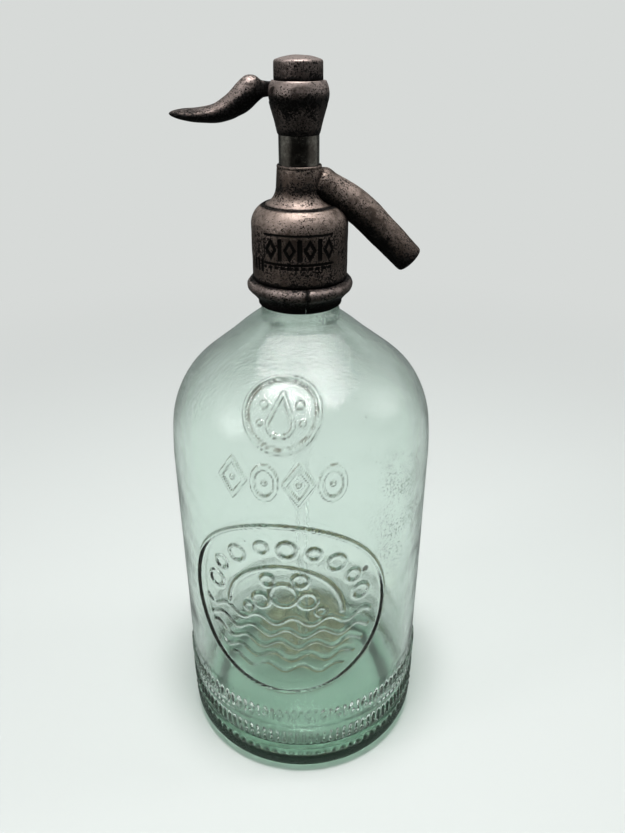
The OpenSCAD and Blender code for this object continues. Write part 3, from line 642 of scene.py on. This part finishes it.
# Generic engraved frieze on the skirt: bars and lozenges between two lines, and a few bars at its left
def frieze(co):
    h = head
    az = azimuth(co)
    u = np.radians(az) * h["skirtR"]
    z = co[:, 2]
    centre = (h["bandLow"] + h["bandHigh"]) / 2
    half = (h["bandHigh"] - h["bandLow"]) / 2
    middle = h["pitch"] / 2
    bars = stroke((u + middle) % h["pitch"] - middle, 0.7, 0.2) * stroke(z - centre, half - 1.5, 0.3)
    gems = stroke((np.abs(u % h["pitch"] - middle) / 1.8 + np.abs(z - centre) / 3.0 - 1), 0.25, 0.18)
    lines = stroke(z - h["bandLow"], 0.28, 0.2) + stroke(z - h["bandHigh"], 0.22, 0.2) * 0.7
    lines += stroke(z - h["bandLow"] + 1.3, 0.4, 0.2) * stroke(u % 2.6 - 1.3, 0.7, 0.2) * 0.7
    span = np.clip((h["bandHalf"] - np.abs(az - h["bandTurn"])) / 3, 0, 1)
    marks = stroke(u % h["marksPitch"] - h["marksPitch"] / 2, 0.5, 0.2) * stroke(z - h["marksZ"], 2.1, 0.3)
    marks = marks * (np.abs(az - h["marksTurn"]) < h["marksHalf"])
    on = (fromAxis(co) > h["skirtR"] - 1.0) & (z < h["domeZ"])
    return np.maximum(np.maximum.reduce([bars, gems, lines]) * span, marks) * on


def makeHead():
    h = head
    lip = [(h["skirtR"] - 0.5, h["skirtZ"]), (h["skirtR"] - 0.15, h["skirtZ"] + 0.12)]
    bell = [(h["skirtR"], h["skirtZ"] + 0.45)]
    bell += arc(h["skirtR"] - h["domeR"], h["domeZ"], h["domeR"], 0, h["crest"], 24)
    scribe = (
        [(h["scribeR"] - 0.25, h["scribeZ"] - 0.05), (h["scribeR"] - 0.5, h["scribeZ"] - 0.25),
         (h["scribeR"] - 0.7, h["scribeZ"] - 0.1)]
        + bend((h["scribeR"] - 0.8, h["scribeZ"] + 0.1), (h["neckR"] + 0.8, h["scribeZ"] + 1.1),
               (h["neckR"], h["scribeZ"] + 5.6), 14)
        + [(h["rimR"], h["topZ"] - 1.3), (h["rimR"] - 0.2, h["topZ"] - 1.1), (h["rimR"], h["topZ"] - 0.9),
           (h["rimR"], h["topZ"] - 0.3), (h["rimR"] - 0.3, h["topZ"]), (h["tailR"], h["topZ"])]
    )
    inner = [
        (h["tailR"], h["ledgeZ"]), (h["chamberR"], h["ledgeZ"]), (h["chamberR"], h["chamberZ"]),
        (h["seatR"], h["chamberZ"]), (h["seatR"], h["recessZ"]), (h["recessR"], h["recessZ"]),
        (h["recessR"], h["seatZ"]), (h["boreR"], h["seatZ"]), (h["boreR"], h["skirtZ"]), lip[0],
    ]
    bm = bmesh.new()
    spinWire(bm, lip + resample(bell, 0.36) + scribe[:3] + resample(scribe[3:-6], 0.5)
             + resample(scribe[-6:], 0.3) + inner, 330)
    verts = list(bm.verts)
    co = getCo(verts)
    r = fromAxis(co)
    out = (r > 8.0) & ~((r < 17.2) & (co[:, 2] < 242))
    move = (dented(co, h["dents"]) - h["sunk"] - h["engraved"] * frieze(co)) * out
    widen(co, (r + move) / r)
    setCo(verts, co)

    def grimeAndShade(p):
        r = fromAxis(p)
        z = p[:, 2]
        # grime and painted shade in the scribed groove, and painted shade where the skirt's lip meets the collar
        groove = near(z, h["scribeZ"] - 0.1, 0.55) * (r > h["grooveInR"]) * 0.6 + near(z, h["skirtZ"], 1.6) * 0.4
        fromRoot = np.hypot(p[:, 0] - h["rootAt"][0], np.hypot(p[:, 1], z - h["rootAt"][1]))
        neck = above(z, h["darkNeck"][0], 3) * below(z, h["darkNeck"][1], 1)
        dark = frieze(p) * 1.5 + groove + near(fromRoot, 0, h["rootReach"]) * 0.3 + neck * 0.2
        # painted shade on the skirt below a height and in the bore
        dark = dark + below(z, h["shadeTop"], 3) * 0.06 + (r < h["insideR"]) * 0.4
        # painted highlight in a band round the dome
        return dark - near(z, h["brightZ"], 5) * 0.06

    finishPiece("siphonHead", bm, "siphon", ["siphon_head"], pewter, grimeAndShade)


makeHead()

collar = {
    "boreR": 15.6, "lowZ": 212.142, "lipR": 16.5, "lipT": 1.4, "rimR": 20.9, "rimT": 5, "rimZ": 219.942,
    "shankR": 16.92, "topZ": 227.942, "shankLow": 222.442, "kerf": 0.5, "turn": 7.6,
    "dents": [(0.22, 13, 7.0), (0.08, 4, 3.0)], "sunk": 0.2,
    # painted shade under the rim, where the skirt ends and behind the rim, and grime at the seam
    "shadeLow": 217.5, "shadeSkirt": 222.6, "behindR": 18.2, "seamReach": 4,
}


def makeCollarHalf(name, node, turn):
    c = collar
    lip, rim = c["lipT"] / 2, c["rimT"] / 2
    wire = (
        [(c["boreR"], c["lowZ"])] + arc(c["lipR"] - lip, c["lowZ"] + lip, lip, -90, 70, 8)
        + [(c["lipR"] - 0.6, c["lowZ"] + c["lipT"])] + arc(c["rimR"] - rim, c["rimZ"], rim, -60, 90, 18)
        + [(c["shankR"], c["shankLow"]), (c["shankR"], c["topZ"])]
        + [(c["boreR"], c["topZ"]), (c["boreR"], c["lowZ"])]
    )
    gap = math.degrees(c["kerf"] / 4 / c["rimR"])
    bm = bmesh.new()
    spinWire(bm, wire, 110, 180 - 2 * gap, c["turn"] - 90 + turn + gap)
    bmesh.ops.remove_doubles(bm, verts=bm.verts, dist=weld)
    bmesh.ops.holes_fill(bm, edges=[e for e in bm.edges if e.is_boundary])
    verts = list(bm.verts)
    co = getCo(verts)
    r = fromAxis(co)
    move = (dented(co, c["dents"]) - c["sunk"]) * (r > c["shankR"] + 0.4)
    widen(co, (r + move) / r)
    co[:, 2] += move * 0.8 * (co[:, 2] < 222)
    setCo(verts, co)

    def grimeAndShade(p):
        z = p[:, 2]
        ends = near((azimuth(p) - c["turn"] + 90) % 180, 90, c["seamReach"])
        # painted shade under the rim, where the head's skirt ends and behind the rim; grime at the seam's ends
        under = below(z, c["shadeLow"], 3) + near(z, c["shadeSkirt"], 0.9)
        return (under + ends) * 0.3 + (fromAxis(p) < c["behindR"]) * 0.35

    finishPiece(name, bm, "siphon", [node], pewterDark, grimeAndShade)


makeCollarHalf("collarRight", "collar_half_right", 0)
makeCollarHalf("collarLeft", "collar_half_left", 180)

spout = {
    "centre": (-6.402, 212.489), "bendR": 46, "start": 16.2, "end": 44.5, "tubeR": 6.3, "mouthR": 5.75,
    "boreR": 3.8, "length": 23.8, "sides": 64, "bendSteps": 30, "tubeSteps": 20, "boreSteps": 8,
    "boreStep": 3.0, "solderH": 1.1,
    "outR": 5.2,  # points farther than this from the tube's axis are its outside
    "dents": [(0.13, 15, 9.0), (0.06, 5, 4.0)], "sunk": 0.1,
    # painted shade underneath and in the mouth, grime inside this x next to the head, and darker outside these x
    "grimeHead": 16, "darkOut": (20, 34),
}


def makeSpout():
    p = spout
    cx, cz = p["centre"]
    bm = bmesh.new()
    turn = Matrix.Translation((cx, 0, cz)) @ Matrix.Rotation(math.radians(p["start"]), 4, "Y")
    ringAt = turn @ Matrix.Translation((0, 0, p["bendR"])) @ Matrix.Rotation(math.radians(90), 4, "Y")
    first = bmesh.ops.create_circle(bm, segments=p["sides"], radius=p["tubeR"], matrix=ringAt)["verts"]
    edges = list({e for v in first for e in v.link_edges})
    spun = bmesh.ops.spin(
        bm, geom=first + edges, cent=(cx, 0, cz), axis=(0, 1, 0), dvec=(0, 0, 0),
        angle=math.radians(p["end"] - p["start"]), steps=p["bendSteps"], use_duplicate=False)
    last = [g for g in spun["geom_last"] if isinstance(g, bmesh.types.BMEdge)]
    a = math.radians(p["end"])
    way = Vector((math.cos(a), 0, -math.sin(a)))
    bendEnd = Vector((cx + p["bendR"] * math.sin(a), 0, cz + p["bendR"] * math.cos(a)))
    mouth = bendEnd

    # lengthens the tube by one step and sets the radius there
    def grow(edgesNow, along, radius, here):
        made = bmesh.ops.extrude_edge_only(bm, edges=edgesNow)["geom"]
        verts = [g for g in made if isinstance(g, bmesh.types.BMVert)]
        target = here + way * along
        for v in verts:
            rel = v.co - here
            rel -= way * rel.dot(way)
            v.co = target + rel.normalized() * radius
        return [g for g in made if isinstance(g, bmesh.types.BMEdge) and g.is_boundary], target

    # from bend to mouth, round the mouth's edge, and back inside
    step = (p["length"] - 0.8) / p["tubeSteps"]
    path = [(step, r) for r in np.linspace(p["tubeR"], p["mouthR"], p["tubeSteps"] + 1)[1:]]
    path += [(0.35, p["mouthR"] - 0.1), (0.3, p["mouthR"] - 0.35), (0.15, p["mouthR"] - 0.8)]
    path += [(0, p["boreR"] + 0.4), (-0.3, p["boreR"] + 0.05), (-0.4, p["boreR"])]
    path += [(-p["boreStep"], p["boreR"])] * p["boreSteps"]
    for along, radius in path:
        last, mouth = grow(last, along, radius, mouth)
    bmesh.ops.holes_fill(bm, edges=[e for e in bm.edges if e.is_boundary])
    verts = list(bm.verts)
    co = getCo(verts)
    # the nearest point of the tube's axis, on the bend and then on the straight
    centre = np.array([cx, 0, cz])
    rel = co - centre
    ang = np.clip(np.arctan2(rel[:, 0], rel[:, 2]), 0, a)
    axis = centre + np.stack([p["bendR"] * np.sin(ang), 0 * ang, p["bendR"] * np.cos(ang)], 1)
    along = np.maximum(0, (co - np.array(bendEnd)) @ np.array(way))
    axis = axis + along[:, None] * np.array(way)
    off = co - axis
    r = np.maximum(np.linalg.norm(off, axis=1), 1e-6)
    d = (ang - math.radians(p["start"])) * p["bendR"] + along
    outside = r > p["outR"]
    move = (dented(co, p["dents"]) - p["sunk"]) * outside
    # solder widens the root, most on top
    solder = p["solderH"] * np.exp(-((d - 2.0) / 2.4) ** 2) * (0.45 + 0.55 * np.clip(off[:, 2] / r, -0.3, 1))
    co = axis + off * ((r + move + solder * outside) / r)[:, None]
    setCo(verts, co)

    def grimeAndShade(q):
        x, z = q[:, 0], q[:, 2]
        end = bendEnd + way * p["length"]
        # painted shade in the mouth
        inside = near(np.hypot(x - end.x, z - end.z), 0, 5) * 0.12
        outer = above(x, p["darkOut"][0], 6) * 0.05 + above(x, p["darkOut"][1], 10) * 0.1
        # painted shade under the tube's axis
        return below(z, axisHeight(q), 5) * 0.23 + below(x, p["grimeHead"], 10) * 0.14 + inside + outer

    def axisHeight(q):
        x = np.clip(q[:, 0], 6, 50)
        bent = cz + np.sqrt(np.maximum(p["bendR"] ** 2 - (x - cx) ** 2, 0))
        return np.where(x < bendEnd.x, bent, bendEnd.z - (x - bendEnd.x) * math.tan(a))

    finishPiece("bentSpout", bm, "siphon", ["spout"], pewter, grimeAndShade)


makeSpout()

lever = {
    "pin": (-8.5, 289.142), "reach": 37.1, "drop": 10.85, "width": 12.6,
    # share of reach, upper edge, lower edge and lean in shares of the drop, share of width, squareness
    "rings": [
        (-0.262, 0.03, -0.03, 0, 0.2, 2), (-0.255, 0.09, -0.09, 0, 0.206, 2),
        (-0.229, 0.11, -0.11, 0, 0.206, 3), (-0.09, 0.11, -0.11, 0, 0.206, 5),
        (-0.065, 0.12, -0.12, 0, 0.21, 5), (-0.05, 0.18, -0.18, 0, 0.33, 5),
        (0.0, 0.221, -0.221, 0, 0.333, 6), (0.06, 0.23, -0.215, 0.0, 0.333, 5),
        (0.116, 0.258, -0.24, 0.046, 0.33, 3.5), (0.180, 0.406, -0.396, 0.055, 0.56, 2.4),
        (0.261, 0.406, -0.544, 0.175, 0.72, 2.1), (0.337, 0.230, -0.682, 0.24, 0.78, 2),
        (0.407, -0.018, -0.783, 0.276, 0.83, 2), (0.480, -0.230, -0.903, 0.230, 0.89, 2),
        (0.588, -0.433, -1.0, 0.166, 0.97, 2), (0.741, -0.535, -0.995, 0.046, 1.0, 2),
        (0.876, -0.571, -0.922, 0, 0.9, 2), (0.965, -0.627, -0.820, 0, 0.62, 2),
        (1.0, -0.691, -0.747, 0, 0.22, 2),
    ],
    "sides": 48, "steps": 5, "smoothFrom": 8, "shadeRoot": -11, "grimeBill": 0.35,
}


# Lofts a skin by extruding one open ring of edges through the others
def loft(bm, rings):
    first = [bm.verts.new(p) for p in rings[0]]
    edges = [bm.edges.new((first[i], first[(i + 1) % len(first)])) for i in range(len(first))]
    verts = first
    for ring in rings[1:]:
        made = bmesh.ops.extrude_edge_only(bm, edges=edges)["geom"]
        fresh = {g for g in made if isinstance(g, bmesh.types.BMVert)}
        edges = [g for g in made if isinstance(g, bmesh.types.BMEdge)]
        edges = [e for e in edges if e.is_boundary and fresh.issuperset(e.verts)]
        verts = [next(e.other_vert(v) for e in v.link_edges if e.other_vert(v) in fresh) for v in verts]
        for v, p in zip(verts, ring):
            v.co = p
    bmesh.ops.holes_fill(bm, edges=[e for e in bm.edges if e.is_boundary])


# A smooth curve from b to c, with a before and d after them
def glide(a, b, c, d, t):
    return b + 0.5 * t * (c - a + t * (2 * a - 5 * b + 4 * c - d + t * (3 * (b - c) + d - a)))


def makeLever():
    k = lever
    rows = np.array(k["rings"])
    px, pz = k["pin"]
    fine = []
    for i in range(len(rows) - 1):
        a, b, c, d = rows[max(i - 1, 0)], rows[i], rows[i + 1], rows[min(i + 2, len(rows) - 1)]
        for t in np.arange(k["steps"]) / k["steps"]:
            fine.append(glide(a, b, c, d, t) if i >= k["smoothFrom"] else b + (c - b) * t)
    fine.append(rows[-1])
    rings = []
    for s, high, low, lean, wide, square in fine:
        top = np.array([px - s * k["reach"], pz + high * k["drop"]])
        foot = np.array([px - s * k["reach"] + lean * k["drop"], pz + low * k["drop"]])
        mid, half = (top + foot) / 2, (top - foot) / 2
        ring = []
        for t in 2 * math.pi * np.arange(k["sides"]) / k["sides"]:
            swing = math.sin(t), math.cos(t)
            up, across = [math.copysign(abs(side) ** (2 / square), side) for side in swing]
            ring.append((mid[0] + half[0] * up, wide * k["width"] / 2 * across, mid[1] + half[1] * up))
        rings.append(ring)
    bm = bmesh.new()
    loft(bm, rings)
    verts = list(bm.verts)
    co = getCo(verts)
    bulk = np.clip((-co[:, 0] - 12) / 6, 0, 1)
    side = co[:, 1] / np.maximum(np.abs(co[:, 1]), 1e-6)
    co[:, 1] += side * (0.15 * uneven(co, 14, 11.0) - 0.1) * bulk
    co[:, 2] += 0.12 * uneven(co, 11, 2.5) * bulk
    setCo(verts, co)

    # painted shade underneath and at the root, grime on the bill
    def grimeAndShade(q):
        x = np.clip((px - q[:, 0]) / k["reach"], rows[0][0], 1)
        mid = pz + k["drop"] * np.interp(x, rows[:, 0], (rows[:, 1] + rows[:, 2]) / 2)
        # painted shade under the lever's middle line and at its root in the housing
        under = below(q[:, 2], mid + 0.75, 2.5)
        return under * 0.27 + near(q[:, 0], k["shadeRoot"], 5) * 0.3 + above(x, k["grimeBill"], 0.4) * 0.16

    finishPiece("sideLever", bm, "lever_arm", ["lever"], pewterDark, grimeAndShade)


makeLever()

housing = {
    "boreR": 6.93, "lowZ": 274.442, "topZ": 291.942, "wideR": 11.05, "round": 8, "wideDrop": 4.1, "flare": 15,
    "slotW": 4.8, "slotH": 6.8, "slotL": 14, "slotX": -9,
    "dents": [(0.14, 12, 8.0), (0.05, 4, 6.0)], "sunk": 0.12,
    # painted shade under the widest part, at the foot and in the bore, and less above a height
    "shadeUnder": 285.5, "shadeFoot": 277, "insideR": 7.4, "brightZ": 287.5,
}


def makeHousing():
    h = housing
    wideZ = h["topZ"] - h["wideDrop"]
    cx = h["wideR"] - h["round"]
    topA = math.degrees(math.asin(h["wideDrop"] / h["round"]))
    endR = cx + h["round"] * math.cos(math.radians(h["flare"]))
    endZ = wideZ - h["round"] * math.sin(math.radians(h["flare"]))
    lowR = endR - (endZ - h["lowZ"]) * math.tan(math.radians(h["flare"]))
    outer = [(lowR - 0.2, h["lowZ"]), (lowR + 0.1, h["lowZ"] + 0.5)]
    outer += arc(cx, wideZ, h["round"], -h["flare"], topA, 24)
    inner = [(h["boreR"], h["topZ"]), (h["boreR"], h["lowZ"])]
    wire = inner[1:] + resample(outer, 0.4) + inner
    bm = bmesh.new()
    spinWire(bm, wire, 200)
    bmesh.ops.remove_doubles(bm, verts=bm.verts, dist=weld)
    bmesh.ops.recalc_face_normals(bm, faces=bm.faces)
    verts = list(bm.verts)
    co = getCo(verts)
    r = fromAxis(co)
    move = (dented(co, h["dents"]) - h["sunk"]) * (r > h["boreR"] + 0.4)
    widen(co, (r + move) / r)
    setCo(verts, co)
    # slot for the lever, open at the top and on the lever's side
    cut = bmesh.new()
    bmesh.ops.create_cube(cut, size=1.0)
    bmesh.ops.scale(cut, vec=(h["slotL"], h["slotW"], h["slotH"] + 2), verts=cut.verts)
    bmesh.ops.translate(cut, vec=(h["slotX"], 0, h["topZ"] - h["slotH"] / 2 + 1), verts=cut.verts)
    solids = []
    for name, source in (("housingForm", bm), ("slotForm", cut)):
        mesh = bpy.data.meshes.new(name)
        source.to_mesh(mesh)
        source.free()
        solids.append(bpy.data.objects.new(name, mesh))
        bpy.context.scene.collection.objects.link(solids[-1])
    boolean = solids[0].modifiers.new("slot", "BOOLEAN")
    boolean.object, boolean.operation, boolean.solver = solids[1], "DIFFERENCE", "EXACT"
    bpy.context.view_layer.update()
    shaped = bpy.data.meshes.new_from_object(solids[0].evaluated_get(bpy.context.evaluated_depsgraph_get()))
    for o in solids:
        bpy.data.objects.remove(o)
    bm = bmesh.new()
    bm.from_mesh(shaped)

    def grimeAndShade(q):
        z = q[:, 2]
        # painted shade under the widest part, at the foot and in the bore
        dark = near(z, h["shadeUnder"], 3.2) * 0.13 + below(z, h["shadeFoot"], 3) * 0.18
        return dark + (fromAxis(q) < h["insideR"]) * 0.3 - above(z, h["brightZ"], 3) * 0.1

    finishPiece("leverHousing", bm, "siphon", ["lever_housing"], pewterDark, grimeAndShade)


makeHousing()

cap = {
    "innerR": 6.93, "r": 8.7, "lowZ": 291.942, "sideH": 5.6, "crownH": 2.4, "inZ": 297.542,
    "dents": [(0.08, 10, 3.0), (0.03, 3, 6.0)], "sunk": 0.06,
}


def makeCap():
    c = cap
    sideZ = c["lowZ"] + c["sideH"]
    wire = (
        [(c["innerR"], c["lowZ"]), (c["r"] - 0.3, c["lowZ"])]
        + [(c["r"] - 0.08, c["lowZ"] + 0.15), (c["r"], c["lowZ"] + 0.5)]
        + resample([(c["r"], c["lowZ"] + 0.5), (c["r"], sideZ)], 0.5)[1:-1]
        + arc(c["r"] - 1.1, sideZ, 1.1, 0, 62, 10)
        + bend((c["r"] - 1.2, sideZ + 1.2), (c["r"] * 0.5, sideZ + c["crownH"]), (0, sideZ + c["crownH"]), 16)
        + [(0, c["inZ"]), (c["innerR"], c["inZ"]), (c["innerR"], c["lowZ"])]
    )
    bm = bmesh.new()
    spinWire(bm, wire, 160)
    bmesh.ops.remove_doubles(bm, verts=bm.verts, dist=weld)
    verts = list(bm.verts)
    co = getCo(verts)
    r = np.maximum(fromAxis(co), 1e-6)
    out = (r > c["innerR"] + 0.3) & (co[:, 2] > c["lowZ"] + 0.1)
    move = (dented(co, c["dents"]) - c["sunk"]) * out
    widen(co, (r + move) / r)
    top = co[:, 2] > sideZ + 1.3
    co[:, 2] += (0.06 * uneven(co, 6, 2.0) - 0.07) * top
    setCo(verts, co)

    # painted shade where it meets the housing, darker down its side, and less on its edge
    def grimeAndShade(q):
        z = q[:, 2]
        # painted shade at the join with the housing
        dark = near(z, c["lowZ"], 1.2) * 0.35 + below(z, sideZ, 5) * 0.08
        return dark - near(z, sideZ + 1.4, 1.6) * 0.14

    finishPiece("screwCap", bm, "siphon", ["top_cap"], pewterDark, grimeAndShade)


makeCap()

spring = {
    "wireR": 0.5, "coilR": 3.8, "lowZ": 265.992, "topZ": 276.892, "restZ": 276.942, "turns": 5,
    "travel": 2.225, "sides": 14, "stepsPerTurn": 30,
}


# Valve spring: a coil of round wire of the given turns, from its low end to its top
def makeSpring():
    s = spring
    steps = s["stepsPerTurn"] * s["turns"]
    rise = (s["topZ"] - s["lowZ"] - 2 * s["wireR"]) / steps
    bm = bmesh.new()
    place = Matrix.Translation((s["coilR"], 0, s["lowZ"] + s["wireR"]))
    place = place @ Matrix.Rotation(math.radians(90), 4, "X")
    ring = bmesh.ops.create_circle(bm, segments=s["sides"], radius=s["wireR"], matrix=place)["verts"]
    edges = list({e for v in ring for e in v.link_edges})
    bmesh.ops.spin(bm, geom=ring + edges, cent=(0, 0, 0), axis=(0, 0, 1), dvec=(0, 0, rise),
                   angle=2 * math.pi * s["turns"], steps=steps, use_duplicate=False)
    bmesh.ops.holes_fill(bm, edges=[e for e in bm.edges if e.is_boundary])
    piece = finishPiece("valveSpring", bm, "siphon", ["valve_spring"], steel)
    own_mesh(piece)


makeSpring()

# CAD nodes that stay, each with its own material
kept = {
    "valve_barrel": nickel, "dip_tube": tubeGlass, "lever_pin": pewterDark,
    "neck_washer": rubber, "tube_seal": rubber, "piston_seal": rubber, "valve_washer": rubber,
    "barrel_washer": fibre, "cap_gasket": fibre, "valve_seat": brass, "guide_bush": brass,
    "valve_rod": brass, "lifting_eye": brass, "washer_nut": brass,
}
for name, material in kept.items():
    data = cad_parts[name].data
    data.materials.clear()
    data.materials.append(material)
print("kept nodes dressed")

# Floor, sky, soft boxes and camera. Tones: what light falls on, and what metal mirrors
studio = {
    "pale": "#d7dad8", "floor": "#b4b7b5", "floorMirrored": "#5e6260",
    "walls": "#8f9594", "horizon": "#3f4443",
    # name, place, point looked at, width, height, watts
    "boxes": [
        ("topBox", (0.0, -0.12, 1.35), (0, 0, 0.15), 0.34, 0.26, 25),
        ("leftBox", (-1.1, -0.5, 0.75), (0, 0, 0.15), 0.3, 0.6, 3.0),
        ("rightBox", (1.2, 0.1, 0.8), (0, 0, 0.15), 0.3, 0.6, 2.5),
    ],
    "floorHalf": 30.0, "eye": (0, -0.272, 0.305), "tilt": 61.9, "turn": -1.03, "lens": 30.68, "sensor": 36,
}


def makeFloor():
    ground, tree = newMaterial("paleFloor")
    seen = addNode(tree, "LightPath").node.outputs
    place = addNode(tree, "TexCoord", output="Object")
    away = addNode(tree, "VectorMath", (place,), "Value", operation="LENGTH")
    # a darker floor in the metal's reflections, as the photographed one is
    rays = seen["Is Glossy Ray"], seen["Is Transmission Ray"]
    mirrored = addNode(tree, "Math", rays, operation="SUBTRACT")
    tones = {0: mirrored, 6: linear(studio["floor"]), 7: linear(studio["floorMirrored"])}
    tone = addNode(tree, "Mix", tones, 2, **colours)
    matt = addNode(tree, "BsdfPrincipled", {"Base Color": tone, "Roughness": 0.8})
    # far off it shines as pale as the sky, so no horizon shows
    direct = addNode(tree, "Math", (seen["Is Camera Ray"], seen["Is Transmission Ray"]), **most)
    far = addNode(tree, "Math", (direct, addNode(tree, "MapRange", (away, 0.12, 0.75), **soft)), **times)
    glow = addNode(tree, "Emission", {"Color": linear(studio["pale"]), "Strength": 1.0})
    mixed = addNode(tree, "MixShader", (far, matt, glow))
    # and metal mirrors bright sides and back and a dark front there
    at = addNode(tree, "SeparateXYZ", (place,)).node.outputs
    side = addNode(tree, "Math", (at["X"],), operation="ABSOLUTE")
    side = addNode(tree, "Math", (side, at["Y"]), **most)
    side = addNode(tree, "Math", (side, away), operation="DIVIDE")
    side = addNode(tree, "MapRange", (side, 0.7, 0.98, 0.03, 0.85), **soft)
    walls = addNode(tree, "Emission", {"Color": linear(studio["walls"]), "Strength": side})
    far = addNode(tree, "Math", (mirrored, addNode(tree, "MapRange", (away, 0.4, 1.0), **soft)), **times)
    addNode(tree, "OutputMaterial", {"Surface": addNode(tree, "MixShader", (far, mixed, walls))})
    bm = bmesh.new()
    bmesh.ops.create_grid(bm, x_segments=2, y_segments=2, size=studio["floorHalf"])
    mesh = bpy.data.meshes.new("floor")
    bm.to_mesh(mesh)
    bm.free()
    floor = bpy.data.objects.new("floor", mesh)
    bpy.context.scene.collection.objects.link(floor)
    mesh.materials.append(ground)


# The eye and the glass see a pale sky, and metal mirrors one with bright flanks, top and back
def makeSky():
    world = bpy.data.worlds.new("studio")
    bpy.context.scene.world = world
    world.use_nodes = True
    tree = world.node_tree
    tree.nodes.clear()
    seen = addNode(tree, "LightPath").node.outputs
    way = addNode(tree, "SeparateXYZ", (addNode(tree, "TexCoord", output="Generated"),)).node.outputs
    high = addNode(tree, "MapRange", (way["Z"], -0.05, 0.8), **soft)
    tones = {0: high, 6: linear(studio["horizon"]), 7: linear(studio["walls"])}
    flank = addNode(tree, "Math", (way["X"],), operation="ABSOLUTE")
    flank = addNode(tree, "MapRange", (flank, 0.25, 0.95, 0.3, 2.6), **soft)
    for limits in ((way["Z"], 0.3, 0.85, 0.3, 1.0), (way["Y"], 0.3, 0.95, 0.3, 2.0)):
        flank = addNode(tree, "Math", (flank, addNode(tree, "MapRange", limits, **soft)), **most)
    lit = addNode(tree, "Background", {"Color": addNode(tree, "Mix", tones, 2, **colours), "Strength": flank})
    roof = addNode(tree, "MapRange", (way["Z"], 0.25, 0.7, 1.0, 0.15), **soft)
    pale = addNode(tree, "Background", {"Color": linear(studio["pale"]), "Strength": roof})
    direct = addNode(tree, "Math", (seen["Is Camera Ray"], seen["Is Transmission Ray"]), **most)
    addNode(tree, "OutputWorld", {"Surface": addNode(tree, "MixShader", (direct, lit, pale))})


def placeLamps():
    for name, place, aim, wide, tall, watts in studio["boxes"]:
        light = bpy.data.lights.new(name, "AREA")
        light.shape, light.size, light.size_y, light.energy = "RECTANGLE", wide, tall, watts
        lamp = bpy.data.objects.new(name, light)
        lamp.location = place
        lamp.rotation_euler = (Vector(aim) - Vector(place)).to_track_quat("-Z", "Y").to_euler()
        bpy.context.scene.collection.objects.link(lamp)


def placeCamera():
    view = bpy.data.cameras.new("view")
    view.sensor_fit, view.sensor_height, view.lens = "VERTICAL", studio["sensor"], studio["lens"]
    camera = bpy.data.objects.new("view", view)
    camera.location = studio["eye"]
    camera.rotation_euler = (math.radians(studio["tilt"]), 0, math.radians(studio["turn"]))
    bpy.context.scene.collection.objects.link(camera)
    bpy.context.scene.camera = camera
    bpy.context.scene.view_settings.view_transform = "Standard"


makeFloor()
makeSky()
placeLamps()
placeCamera()
print("stage ready")
